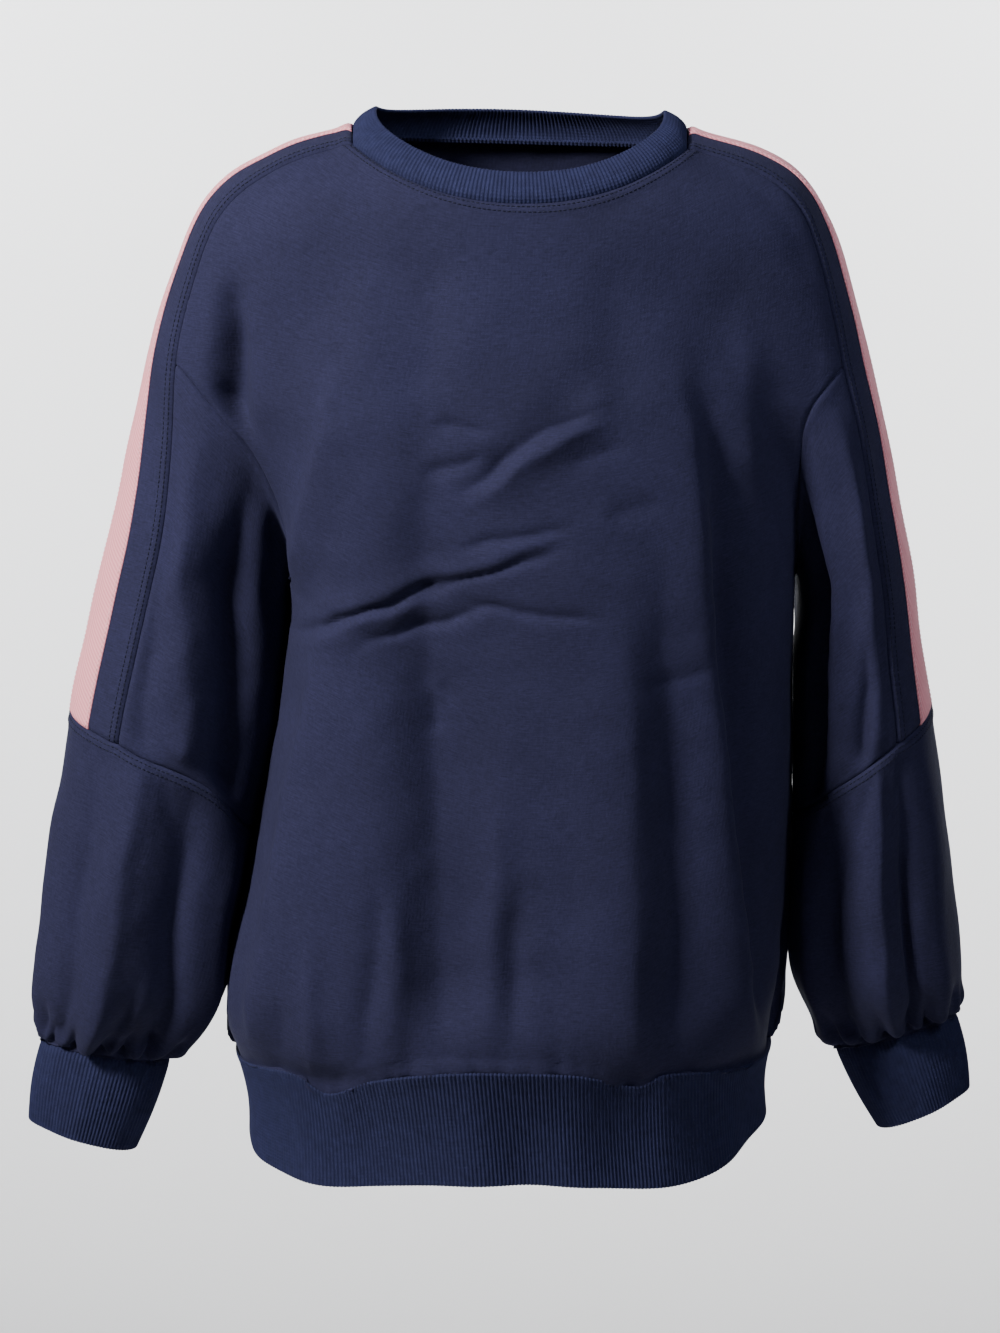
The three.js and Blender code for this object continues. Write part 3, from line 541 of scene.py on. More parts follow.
# %% Folds on the front and back
FOLD_COLUMNS = "fromX fromZ toX toZ bow near far height sharp"
BODY_FOLDS = {
    "front": table(FOLD_COLUMNS, [
        [-102, -130, -142, -310, 0, 28, 8, 9, 1.5],
        [-98, -230, -184, -690, -2, 24, 9, 10, 1.4],
        [-156, -290, -176, -555, 0, 9, 10, -3, 1.8],
        [-173, -70, -178, -290, 0, 10, 10, -17, 1.8],
        [-187, -73, -184, -165, 0, 9, 9, 3, 1.8],
        [-60, -170, -36, -790, 3, 66, 26, -21, 1.7],
        [-52, -120, -50, -330, 0, 30, 17, -5, 1.7],
        [-84, -443, -94, -690, 0, 7, 9, -4.5, 1.6],
        [-72, -449, -73, -690, 0, 8, 8, 3, 1.8],
        [-125, -480, -128, -680, 0, 8, 6, 4.5, 1.5],
        [-144, -509, -146, -690, 0, 6, 7, -4.5, 1.6],
        [-5, -371, -28, -690, 3, 11, 11, 4.5, 1.7],
        [9, -435, -8, -690, 0, 9, 9, -4, 1.7],
        [31, -345, 32, -690, 0, 24, 24, -3, 2],
        [72, -240, 80, -740, 0, 14, 36, 6, 1.6],
        [92, -210, 122, -790, 0, 50, 15, -10, 1.4],
        [98, -90, 173, -690, 1, 9, 26, 8, 1.5],
        [116, -120, 187, -690, 1, 17, 9, -17, 1.6],
        [142, -102, 151, -239, 0, 12, 14, 4, 1.8],
        [-38, -224, 66, -160, 4, 9, 3, -8, 1.2],
        [-30, -228, 70, -168, 4, 3, 10, 4, 1.4],
        [-16, -206, 72, -150, -2, 9, 8, 4.5, 1.6],
        [-150, -326, -22, -266, 3, 5, 2.4, -6, 1.2],
        [-142, -318, -20, -260, 3, 8, 6, 3.4, 1.5],
        [-136, -327, -30, -276, 3, 3, 9, 2.6, 1.5],
        [-66, -287, 40, -250, 2, 4, 2.2, -4.4, 1.2],
        [-64, -281, 38, -244, 2, 6, 6, 2.4, 1.5],
        [-106, -322, 4, -284, 3, 4, 2.4, -3.8, 1.25],
        [-42, -287, 68, -301, 5, 4, 2.4, -3.2, 1.25],
        [-40, -254, 44, -242, 1, 3.4, 2.4, -3.2, 1.25],
        [-58, -203, -12, -196, 1, 5, 5, -3.2, 1.4],
        [-52, -175, -8, -184, 0, 3, 3, -2.2, 1.3],
        [-53, -346, -48, -372, 2, 4, 5, -2, 1.4],
        [-46, -339, -36, -356, 1, 4, 4, -1.6, 1.4],
        [55, -233, 97, -222, 2, 6, 8, -1.8, 1.5],
        [30, -202, 79, -188, 2, 6, 7, -1.8, 1.5],
        [81, -340, 131, -328, 2, 6, 7, -1.6, 1.5],
        [-47, -63, -61, -172, 4, 16, 18, -2.6, 1.9],
        [60, -69, 79, -172, -5, 16, 18, -2.4, 1.9],
        [-83, -70, -96, -161, 0, 14, 14, 2, 1.8],
    ]),
    "back": table(FOLD_COLUMNS, [
        [-106, -150, -138, -400, -4, 28, 9, 8, 1.5],
        [-174, -80, -172, -225, 4, 10, 10, -9, 1.8],
        [-96, -330, -160, -660, 4, 24, 9, 8, 1.4],
        [-60, -290, -84, -660, -5, 12, 30, -11, 1.5],
        [-14, -340, -26, -660, 4, 12, 16, 4, 1.7],
        [40, -310, 50, -660, 5, 20, 11, -8, 1.5],
        [96, -210, 146, -650, 6, 10, 28, 10, 1.5],
        [120, -230, 168, -640, 4, 14, 9, -11, 1.7],
        [-70, -150, 62, -158, 6, 9, 4, -5, 1.3],
        [-62, -162, 58, -170, 6, 4, 10, 3, 1.5],
        [-122, -236, -36, -262, 3, 5, 2.6, -3.6, 1.25],
        [60, -214, 134, -250, -4, 5, 2.6, -3.8, 1.25],
        [-36, -392, 24, -380, 2, 4, 3, -2.2, 1.3],
        [168, -110, 174, -240, 4, 12, 10, -8, 1.8],
        [-52, -480, -46, -660, 0, 8, 9, 3.5, 1.6],
        [84, -520, 88, -660, 0, 8, 7, -4, 1.6],
    ]),
}


def ripple(grid, seed, wavelength, height, count=14):
    """A faint unevenness: a sum of sine waves in random directions in space, of about one wavelength."""
    rng = np.random.default_rng(seed)
    total = np.zeros(grid.shape[:2])
    for _ in range(count):
        direction = rng.normal(size=3)
        direction *= 2 * np.pi / (wavelength * rng.uniform(0.6, 1.6) * np.linalg.norm(direction))
        total += np.sin(grid @ direction + rng.uniform(0, 2 * np.pi))
    return height * total / math.sqrt(count)


def bell(aside, near, far, sharp):
    """A ridge's cross-section: 1 on its line, fading over the width of either flank, more pointed if sharp is low."""
    return np.exp(-np.abs(aside / np.where(aside < 0, near, far)) ** sharp)


def wander(grid, seed):
    """Sideways shifts of a few millimetres in x and z, smooth over the cloth, so that no fold runs quite straight."""
    return [ripple(grid, seed + i, 70, 1.4 + i) + ripple(grid, seed + i + 5, 24, 0.35 + 0.8 * i) for i in (0, 1)]


def tapered(along):
    """1 along the middle of a fold, easing to 0 over the last third of its length at either end."""
    share = np.clip(np.minimum(along, 1 - along) * 3, 0, 1)
    return share * share * (3 - 2 * share)


def body_folds(grid, folds, seed):
    """Sums the folds over (x, z): each is a bell across its bowed line, faded to nothing at both its ends."""
    x, z = (grid[..., i] + shift for i, shift in zip((0, 2), wander(grid, seed)))
    total = np.zeros_like(x)
    for x0, z0, x1, z1, bow, near, far, height, sharp in zip(*(folds[key] for key in FOLD_COLUMNS.split())):
        dx, dz = x1 - x0, z1 - z0
        length = math.hypot(dx, dz)
        along = np.clip(((x - x0) * dx + (z - z0) * dz) / length**2, 0, 1)
        aside = ((x - x0) * dz - (z - z0) * dx) / length + 4 * bow * along * (1 - along)
        total += height * tapered(along) * bell(aside, near, far, sharp)
    return total


# %% Folds on the sleeves
SLEEVE_FOLD_COLUMNS = "from to fromAngle toAngle near far height"
SLEEVE_FOLDS = {
    ("right", "upper"): table(SLEEVE_FOLD_COLUMNS, [
        [8.0, 15.8, 70, 114, 12, 10, 7],
        [8.6, 15.8, 104, 142, 12, 14, -13],
        [10.4, 15.2, 66, 92, 9, 8, -4],
        [8.6, 11.6, 128, 150, 7, 8, -5],
        [9.2, 12.2, 196, 226, 14, 12, 5],
        [9.2, 15.5, 246, 262, 13, 13, -7],
        [10.5, 15.8, 286, 296, 16, 12, 5],
    ]),
    ("left", "upper"): table(SLEEVE_FOLD_COLUMNS, [
        [7.6, 14.6, 132, 140, 9, 8, -12],
        [8.2, 14.8, 116, 124, 10, 9, 5],
        [10.8, 15.9, 82, 116, 8, 8, -8],
        [8.0, 14.8, 74, 96, 12, 9, 6],
        [10.6, 14.6, 50, 62, 10, 10, -3],
        [8.8, 12.8, 200, 228, 14, 12, 5],
        [9.4, 15.6, 250, 266, 14, 12, -7],
        [10.5, 15.6, 284, 300, 14, 12, 5],
    ]),
    ("right", "lower"): table(SLEEVE_FOLD_COLUMNS, [
        [12.0, 19.6, 84, 76, 12, 9, 7],
        [12.4, 19.6, 54, 50, 12, 12, -6],
        [12.6, 19.9, 108, 130, 15, 12, -13],
        [12.8, 19.4, 146, 158, 10, 9, 6],
        [15.4, 19.9, 94, 88, 6, 6, -7],
        [16.0, 19.9, 30, 28, 7, 7, -5],
        [13.0, 18.2, 14, 12, 14, 12, 4],
        [12.6, 17.6, 204, 210, 14, 12, 5],
        [13.0, 19.4, 232, 240, 12, 14, -8],
        [12.4, 18.2, 266, 272, 16, 13, 6],
        [14.0, 19.4, 306, 312, 12, 10, -6],
        [11.8, 14.2, 46, 112, 4, 8, -2.4],
    ]),
    ("left", "lower"): table(SLEEVE_FOLD_COLUMNS, [
        [11.8, 19.4, 88, 92, 6, 16, 6],
        [12.8, 19.9, 68, 76, 5, 5, -9],
        [12.4, 19.4, 46, 50, 14, 10, 4],
        [12.6, 19.6, 122, 132, 13, 12, -9],
        [12.8, 18.8, 146, 152, 9, 9, 4],
        [16.0, 19.9, 30, 28, 6, 6, -4],
        [13.6, 17.6, 206, 210, 14, 12, 4],
        [13.6, 19.4, 232, 238, 12, 12, -7],
        [12.8, 18.4, 262, 270, 14, 14, 6],
        [14.2, 19.4, 306, 312, 12, 10, -6],
        [12.0, 14.4, 52, 120, 4, 8, -2.4],
    ]),
}
MEAN_RADIUS = 58  # turns an angle round a sleeve into millimetres


def sleeve_folds(places, folds, grid, seed):
    """The same bells, on lines that run down the sleeve from one angle to another."""
    station, angle = places
    angle = angle + wander(grid, seed)[0] / MEAN_RADIUS
    total = np.zeros_like(station)
    for start, end, first, last, near, far, height in zip(*(folds[key] for key in SLEEVE_FOLD_COLUMNS.split())):
        along = np.clip((station - start) / (end - start), 0, 1)
        turn = np.mod(angle - np.radians(mix(first, last, along)) + np.pi, 2 * np.pi) - np.pi
        total += height * tapered(along) * bell(MEAN_RADIUS * turn, near, far, 1.7)
    return total


# %% [markdown]
# ## Gathers
#
# A sweatshirt's body and sleeves are cut wider than their ribbed ends, so the cloth is eased in and puckers just
# above the seam. Each gather is a narrow trough, deepest a little above the seam and gone within a hand's width.
# Their spacing is uneven, because cloth is fed by hand. The hem's are many and shallow, so a seeded random walk
# places them. The cuffs' are few and deep and each one shows, so a table lists them one by one.

# %% Gathers above the hem and cuffs


def walk(seed, start, end, step, spread):
    """Places from start to end, each a step further on than the last, give or take a share of the step."""
    rng = np.random.default_rng(seed)
    count = int((end - start) / step) + 1
    places = start + np.cumsum(step * (1 + spread * rng.uniform(-1, 1, count)))
    strength, reach = rng.uniform(0.35, 1, count), rng.uniform(0.5, 1, count)
    return places[places < end], strength, reach


def gathers(position, up, places, strength, reach, width, depth, height):
    """Troughs at the given places: each a bell across, rising fast from the seam and fading over its height."""
    total = np.zeros_like(position)
    for place, strong, far in zip(places, strength, reach):
        rise = np.clip(up / (height * far), 0, 1)
        shape = np.clip(up / 5, 0, 1) ** 0.6 * (1 - rise) ** 1.6
        total -= depth * strong * shape * np.exp(-np.abs((position - place) / (width * mix(0.7, 1.3, far))) ** 1.6)
    return total


HEM_GATHERS = {"from": -178, "to": 178, "step": 17, "spread": 0.45}
GATHER_SHAPE = {"hem": (4.2, 3.6, 56), "cuff": (0.075, 13, 62)}  # width, depth and height; a cuff's width is radians
OVERHANG = {"hem": (2.4, 6), "cuff": (4.2, 9)}  # how far the cloth hangs over a band, and how high above its seam
CUFF_PLEATS = {
    "right": table("angle strength reach", [
        [10, 0.5, 0.5], [40, 0.7, 0.5], [64, 0.9, 0.7], [86, 0.9, 0.65], [103, 1, 1], [125, 0.75, 0.5],
        [148, 0.9, 0.8], [176, 0.6, 0.6], [206, 0.9, 0.8], [234, 0.7, 0.6], [262, 1, 0.9], [292, 0.6, 0.5],
        [324, 0.9, 0.8],
    ]),
    "left": table("angle strength reach", [
        [14, 0.5, 0.5], [37, 0.8, 0.5], [60, 1, 0.9], [78, 0.8, 0.6], [98, 1, 0.8], [121, 0.7, 0.5],
        [145, 0.9, 0.8], [174, 0.6, 0.6], [200, 0.8, 0.7], [231, 0.7, 0.6], [258, 0.9, 0.9], [288, 0.7, 0.5],
        [326, 0.9, 0.7],
    ]),
}


def lengths_along(grid, axis):
    """The distance from the first line of the grid, measured along its lines."""
    steps = np.linalg.norm(np.diff(grid, axis=axis), axis=2)
    zero = np.zeros_like(np.take(steps, [0], axis))
    return np.concatenate([zero, np.cumsum(steps, axis=axis)], axis)


def blouse(up, height, over):
    """The cloth's overhang just above a tight band: a bell whose top is a little above the seam."""
    return height * np.exp(-(((up - over) / over) ** 2))


# %% [markdown]
# ## From grid to cloth
#
# A knit has a thickness, and where it is sewn its edge rolls under. So each piece gets extra lines close to its
# seams, its outer skin dips there, and beside a topstitched seam it stands up over the seam allowance folded under
# it. A Solidify modifier could make the wall, but it can't roll an edge, so both skins are worked out here.

# %% Skins, walls and meshes
CLOTH = 1.6
DIP = {"depth": 1.2, "width": 1.4}
WELT = {"height": 0.9, "from": 1.6, "to": 7.6, "soft": 0.9}
NEAR_EDGE = np.array([0.22, 0.5])  # where the extra lines lie between an edge and the next line
FOLD_NORMAL_PASSES = 12


def with_edge_lines(grid, axis):
    """Adds lines close to the first and last line of a grid, straight between it and its neighbour."""
    grid = np.moveaxis(grid, axis, 0)
    share = NEAR_EDGE[:, None, None]
    first = mix(grid[:1], grid[1:2], share)
    last = mix(grid[-1:], grid[-2:-1], share)[::-1]
    return np.moveaxis(np.concatenate([grid[:1], first, grid[1:-1], last, grid[-1:]]), 0, axis)


def normals_of(grid, ring, flip, evened=0):
    """Unit vectors square to a grid: its differences down the rows crossed with those across the columns.

    Before they are made unit length they can be averaged with their neighbours a few times. A sheared, thin cell has
    a short vector and counts for little, so it can't throw the fold on it to one side.
    """
    along = np.gradient(grid, axis=0)
    across = np.roll(grid, -1, 1) - np.roll(grid, 1, 1) if ring else np.gradient(grid, axis=1)
    n = np.cross(along, across) * flip
    for _ in range(evened):
        n[1:-1] = (n[:-2] + 2 * n[1:-1] + n[2:]) / 4
        n[:, 1:-1] = (n[:, :-2] + 2 * n[:, 1:-1] + n[:, 2:]) / 4
    return n / np.maximum(np.linalg.norm(n, axis=2, keepdims=True), 1e-9)


def dip(distance):
    """How far the cloth rolls under at this distance from its seam."""
    return DIP["depth"] * np.exp(-((distance / DIP["width"]) ** 2))


def welt(distance):
    """How far the cloth stands up over the seam allowance under it: a flat top with soft shoulders."""
    edge = lambda at: 1 / (1 + np.exp(-(distance - at) / WELT["soft"]))
    return WELT["height"] * (edge(WELT["from"]) - edge(WELT["to"]))


def mesh_from(name, points, faces, uv):
    """A mesh of quads from points in millimetres, with one texture coordinate, in metres, for each face corner."""
    mesh = bpy.data.meshes.new(name)
    mesh.from_pydata((points * MM).tolist(), [], faces.tolist())
    layer = mesh.uv_layers.new(name="cloth")
    layer.data.foreach_set("uv", (uv * MM).astype(np.float32).ravel())
    mesh.polygons.foreach_set("use_smooth", np.ones(len(mesh.polygons), bool))
    mesh.update()
    obj = bpy.data.objects.new(name, mesh)
    bpy.context.scene.collection.objects.link(obj)
    return obj


def wall_mesh(name, outer, inner, uv, ring, flip):
    """A closed wall: the outer skin, then the inner one in reverse, joined into one loop of rows."""
    points = np.concatenate([outer, inner[::-1]])
    rows, columns = points.shape[:2]
    uv = np.concatenate([uv, uv[::-1]])
    index = np.arange(rows * columns).reshape(rows, columns)
    index = np.concatenate([index, index[:1]])
    uv = np.concatenate([uv, uv[:1]])
    if ring:
        index = np.concatenate([index, index[:, :1]], 1)
    quads = lambda grid: np.stack([grid[:-1, :-1], grid[:-1, 1:], grid[1:, 1:], grid[1:, :-1]], 2)
    faces = quads(index).reshape(-1, 4)
    corners = quads(uv).reshape(-1, 4, 2)
    if not ring:
        half = rows // 2
        for column, turn in ((0, 1), (columns - 1, -1)):
            out, back = index[:half, column], index[half:rows, column][::-1]
            side = np.stack([out[:-1], out[1:], back[1:], back[:-1]], 1)[:, ::turn]
            faces = np.concatenate([faces, side])
            flat = uv[:half, column]
            corners = np.concatenate([corners, np.stack([flat[:-1], flat[1:], flat[1:], flat[:-1]], 1)[:, ::turn]])
    if flip > 0:
        faces, corners = faces[:, ::-1], corners[:, ::-1]
    return mesh_from(name, points.reshape(-1, 3), faces, corners)


def cloth_uv(grid, ring):
    """Texture coordinates in millimetres on the cloth itself: across from the middle column, and down the rows."""
    closed = np.concatenate([grid, grid[:, :1]], 1) if ring else grid
    u = lengths_along(closed, 1)
    u = u - u[:, -1:] / 2
    v = lengths_along(closed, 0)
    return np.stack([u, np.broadcast_to(v.mean(1, keepdims=True), u.shape)], -1)


CLOTHS = {}


def cloth_piece(name, grid, flip, ring=False, shape=None, welts=()):
    """A sewn piece: folded, rolled under at its seams, raised at its topstitched ones, and given its thickness."""
    fine = with_edge_lines(grid, 0)
    fine = fine if ring else with_edge_lines(fine, 1)
    if shape is not None:
        height = with_edge_lines(shape[..., None], 0)
        height = height if ring else with_edge_lines(height, 1)
        fine = fine + normals_of(fine, ring, flip, FOLD_NORMAL_PASSES) * height
    down, across = lengths_along(fine, 0), lengths_along(fine, 1)
    edges = {"first row": down, "last row": down[-1:] - down}
    if not ring:
        edges.update({"first column": across, "last column": across[:, -1:] - across})
    lift = sum(-dip(distance) for distance in edges.values())
    lift = lift + sum(welt(edges[edge]) for edge in welts)
    normals = normals_of(fine, ring, flip)
    outer = fine + normals * lift[..., None]
    inner = outer - normals * CLOTH
    CLOTHS[name] = {"outer": outer, "normals": normals, "edges": edges, "ring": ring}
    return wall_mesh(name, outer, inner, cloth_uv(fine, ring), ring, flip)


# %% The front and the back
FADE = 16


def faded(grid, ring=False, first=FADE):
    """1 inside a piece, fading to 0 over a short way to its edges, so that folds leave the shared seams alone.

    The way from the first row may be longer: towards the hem the long folds of the body run out slowly.
    """
    down, across = lengths_along(grid, 0), lengths_along(grid, 1)
    edges = [down * FADE / first, down[-1:] - down] + ([] if ring else [across, across[:, -1:] - across])
    shares = [np.clip(edge / FADE, 0, 1) for edge in edges]
    return np.prod([share * share * (3 - 2 * share) for share in shares], axis=0)


def body_shape(face, seed):
    """The heights that turn the plain front or back into worn cloth: folds, gathers at the hem, faint ripples."""
    grid = GRIDS[face]
    up = lengths_along(grid, 0)
    puckers = walk(seed, *(HEM_GATHERS[key] for key in ("from", "to", "step", "spread")))
    hem = gathers(grid[..., 0], up, *puckers, *GATHER_SHAPE["hem"]) + blouse(up, *OVERHANG["hem"])
    inside_sides = np.clip((180 - np.abs(grid[..., 0])) / 12, 0, 1)
    folds = body_folds(grid, BODY_FOLDS[face], seed) + ripple(grid, seed, 90, 0.6) + ripple(grid, seed + 1, 30, 0.2)
    return folds * faded(grid, first=75) + hem * inside_sides


pieces = {
    "front": cloth_piece("front_cloth", GRIDS["front"], -1, shape=body_shape("front", 11), welts=["last row"]),
    "back": cloth_piece("back_cloth", GRIDS["back"], 1, shape=body_shape("back", 23), welts=["last row"]),
}

# %% The shoulder panels and sleeves
for side, flip in (("right", -1), ("left", 1)):
    places = PLACES[side]
    panel, upper, lower = (GRIDS[side, part] for part in ("panel", "upper", "lower"))
    uneven = ripple(panel, 31, 60, 0.3) * faded(panel)
    pieces[f"{side}_shoulder_panel"] = cloth_piece(
        f"{side}_shoulder_panel_cloth", panel, flip, shape=uneven, welts=["first column", "last column", "first row"])
    folds = sleeve_folds(places["upper"], SLEEVE_FOLDS[side, "upper"], upper, 35) + ripple(upper, 37, 60, 0.5)
    pieces[f"{side}_upper_sleeve"] = cloth_piece(
        f"{side}_upper_sleeve_cloth", upper, -flip, shape=folds * faded(upper))
    up = lengths_along(lower, 0)
    angle = np.mod(places["lower"][1], 2 * np.pi)
    at, strength, reach = (CUFF_PLEATS[side][key] for key in ("angle", "strength", "reach"))
    up = up[-1:] - up
    pleats = gathers(angle, up, np.radians(at), strength, reach, *GATHER_SHAPE["cuff"])
    pleats = pleats + blouse(up, *OVERHANG["cuff"])
    folds = sleeve_folds(places["lower"], SLEEVE_FOLDS[side, "lower"], lower, 45) + ripple(lower, 47, 60, 0.5)
    pieces[f"{side}_lower_sleeve"] = cloth_piece(
        f"{side}_lower_sleeve_cloth", lower, -flip, ring=True, shape=folds * faded(lower, True) + pleats,
        welts=["first row"])
print("pieces so far:", sorted(pieces))

# %% [markdown]
# ## Ribbed bands
#
# The neckband, cuffs and hem band are tubes of one-by-one rib, folded double so that the fold is the free edge.
# Rib is a real shape here and not bump, because its edge shows against the light. A profile goes down the outside,
# round the fold and up the inside, and along the seam every fourth point starts a new rib.

# %% Lines that the bands run between


def neck_lines():
    """The neck seam all round, from the right shoulder over the front, and the band's upper edge above it."""
    right, left = GRIDS["right", "panel"][0], GRIDS["left", "panel"][0]
    seam = np.concatenate([GRIDS["front"][-1, :-1], left[:-1], GRIDS["back"][-1, :0:-1], right[:0:-1]])
    aside = np.array([*NECK_MIDDLE, 0.0]) - seam
    aside[:, 2] = 0
    aside /= np.linalg.norm(aside, axis=1, keepdims=True)
    inwards, up = (mix(NECKBAND_RISE["ends"][i], NECKBAND_RISE["sides"][i], aside[:, 0] ** 2) for i in (0, 1))
    return seam, seam + aside * inwards[:, None] + np.array([0, 0, 1.0]) * up[:, None]


def hem_lines():
    """The hem seam from the right side seam over the front, and the hem's lower edge, a rounded section."""
    seam = np.concatenate([GRIDS["front"][0, :-1], GRIDS["back"][0, :0:-1]])
    turn = np.linspace(0, 1, 481)[:-1]
    z = smooth(HEM_EDGE["turn"], HEM_EDGE["z"], turn)
    c, d = -np.cos(2 * np.pi * turn), -np.sin(2 * np.pi * turn)
    power = 2 / HEM_ROUNDNESS
    width = np.where(c < 0, smooth(TORSO["z"], TORSO["right"], z), smooth(TORSO["z"], TORSO["left"], z))
    depth = np.where(d < 0, smooth(TORSO["z"], TORSO["front"], z), smooth(TORSO["z"], TORSO["back"], z))
    edge = [width * np.sign(c) * np.abs(c) ** power, depth * np.sign(d) * np.abs(d) ** power, z]
    return seam, np.stack(edge, -1)


def cuff_lines(side):
    """The cuff seam, which is the lower sleeve's last ring, and the cuff's free edge, an ellipse."""
    seam = GRIDS[side, "lower"][-1]
    s = CUFF_EDGE[side]
    middle = STEPS["panel"] * 3 - 1
    angle = 2 * np.pi * (np.arange(len(seam)) - middle) / len(seam)
    outer, inner = np.array(s["outer"]), np.array(s["inner"])
    x, z = mix((outer + inner) / 2, outer, np.cos(angle)[:, None]).T
    return seam, np.stack([x, s["midY"] - s["depth"] * np.sin(angle), z], -1)


# %% A ribbed band
RIB = {"pitch": 2.6, "height": 0.85, "points": 4, "wall": 2.8, "proud": 0.4}


def closed_evenly(line, count):
    """A closed line resampled at equal steps, starting from its first point."""
    return evenly(np.concatenate([line, line[:1]])[None], count)[0, :-1]


def softened(line, spread):
    """A closed line with its corners rounded: each point becomes a weighted mean of those within a spread of it."""
    if not spread:
        return line
    step = np.linalg.norm(np.diff(line, axis=0), axis=1).mean()
    reach = int(3 * spread / step)
    offsets = np.arange(-reach, reach + 1)
    weights = np.exp(-((offsets * step / spread) ** 2) / 2)
    around = (np.arange(len(line))[:, None] + offsets[None, :]) % len(line)
    return np.einsum("ijk,j->ik", line[around], weights / weights.sum())


def ribbed_band(name, lines, flip, bulge, rows, wave, soft=0, tuck=0.03, under=1.8):
    """A double band: grid rows between two lines, bulged and waved, then wrapped over its fold to the inside.

    soft rounds the corners of the free edge, tuck is the share of its depth that goes up behind the seam, and under
    is how far the band dips there.
    """
    seam, edge = lines
    round_it = np.linalg.norm(np.diff(seam, axis=0), axis=1).sum()
    ribs = int(round(round_it / RIB["pitch"]))
    count = ribs * RIB["points"]
    low, high = closed_evenly(seam, count), softened(closed_evenly(edge, count), soft)
    t = np.concatenate([[-tuck], np.linspace(0, 1, rows + 1)])[:, None, None]
    rows += 1
    grid = mix(low[None], high[None], t)
    normals = normals_of(grid, True, flip)
    around = np.arange(count) / count * 2 * np.pi
    sway = sum(height * np.sin(turns * around + phase) for turns, height, phase in wave)
    out = np.clip(t, 0, 1)
    grid = grid + normals * (bulge * np.sin(np.pi * out) + (sway * np.sin(np.pi * out[..., 0] / 2))[..., None])
    normals = normals_of(grid, True, flip)
    relief = RIB["height"] * (np.cos(2 * np.pi * np.arange(count) / RIB["points"]) - 1)[None, :, None] / 2
    half = RIB["wall"] / 2
    turn = np.linspace(0, np.pi, 7)[1:-1]
    down = grid[-1:] - grid[-2:-1]
    down /= np.linalg.norm(down, axis=2, keepdims=True)
    arc = np.cos(turn)[:, None, None] * half * normals[-1:] + np.sin(turn)[:, None, None] * half * down
    fold = grid[-1:] + (RIB["proud"] - half) * normals[-1:] + arc * (1 + relief / (2 * half))
    roll = under * np.exp(-np.maximum(t * rows / 0.8, -1) * np.abs(t * rows / 0.8))
    outer = grid + normals * (RIB["proud"] + relief - roll)
    inner = grid + normals * (RIB["proud"] - RIB["wall"] - relief - roll / 3)
    outer = np.concatenate([outer, fold[: len(turn) // 2 + 1]])
    inner = np.concatenate([inner, fold[len(turn) // 2:][::-1]])
    print(name, "has", ribs, "ribs")
    return wall_mesh(name, outer, inner, cloth_uv(outer, True), True, flip)


WAVES = {
    "neck": [(3, 0.5, 0.4), (5, 0.3, 2.0)],
    "hem": [(7, 1.6, 0.3), (11, 1.1, 1.9), (17, 0.6, 4.0)],
    "cuff": [(3, 0.8, 1.2), (5, 0.5, 0.2)],
}
pieces["neckband"] = ribbed_band("neckband_rib", neck_lines(), -1, 1.5, 9, WAVES["neck"], 16, 0.1, 1.7)
pieces["hem_band"] = ribbed_band("hem_band_rib", hem_lines(), -1, 2.5, 15, WAVES["hem"], under=1.4)
for side, flip in (("right", 1), ("left", -1)):
    pieces[f"{side}_cuff"] = ribbed_band(f"{side}_cuff_rib", cuff_lines(side), flip, 2, 14, WAVES["cuff"])

# %% [markdown]
# ## The trim tape
#
# One broad plain tape of woven twill runs from the neck down each shoulder panel. It is sewn flat on the panel, so
# it is made from the panel's own points between its two edges, moved out by a hair, and its edges are turned down.

# %% Tape from the panel's points
TAPE = {"lift": 0.25, "thick": 0.9}


def tape_piece(side, flip):
    """The middle columns of the panel's cloth, moved out, with a rounded shoulder along both edges."""
    cloth = CLOTHS[f"{side}_shoulder_panel_cloth"]
    edge, steps = len(NEAR_EDGE), STEPS["panel"]
    columns = slice(2 * steps + edge, 4 * steps + edge + 1)
    skin, normals = cloth["outer"][:, columns], cloth["normals"][:, columns]
    skin = with_edge_lines(skin, 1)
    normals = with_edge_lines(normals, 1)
    across = lengths_along(skin, 1)
    aside = np.minimum(across, across[:, -1:] - across)
    top = TAPE["lift"] + TAPE["thick"] * (1 - 0.55 * np.exp(-aside / 0.9))
    outer = skin + normals * top[..., None]
    inner = skin + normals * TAPE["lift"] * 0.2
    CLOTHS[f"{side}_tape_weave"] = {"outer": outer, "normals": normals, "ring": False,
                                    "edges": {"first column": across, "last column": across[:, -1:] - across}}
    return wall_mesh(f"{side}_tape_weave", outer, inner, cloth_uv(skin, False), False, flip)


for side, flip in (("right", -1), ("left", 1)):
    pieces[f"{side}_tape"] = tape_piece(side, flip)

# %% [markdown]
# ## Stitches
#
# Topstitching is two rows of short threads, each sunk a little at both ends. The rows follow the seam at a fixed
# distance on the cloth. Each stitch is a slim capsule of a few dozen faces, and one array operation places them
# all, so thousands cost no loop.

# %% Rows of stitches
STITCH = {"pitch": 3.1, "length": 2.5, "radius": 0.38}


def line_at(cloth, edge, distance):
    """The points and normals at a distance from one edge of a piece, found along the lines that leave it."""
    away = cloth["edges"][edge]
    rows = "row" in edge
    lines = [np.moveaxis(a, 0, 1) if rows else a for a in (cloth["outer"], cloth["normals"])]
    away = away.T if rows else away
    order = slice(None, None, -1) if "last" in edge else slice(None)
    pick = lambda values: np.array([
        [np.interp(distance, d[order], line[order, i]) for i in range(3)] for d, line in zip(away, values)])
    return pick(lines[0]), pick(lines[1])


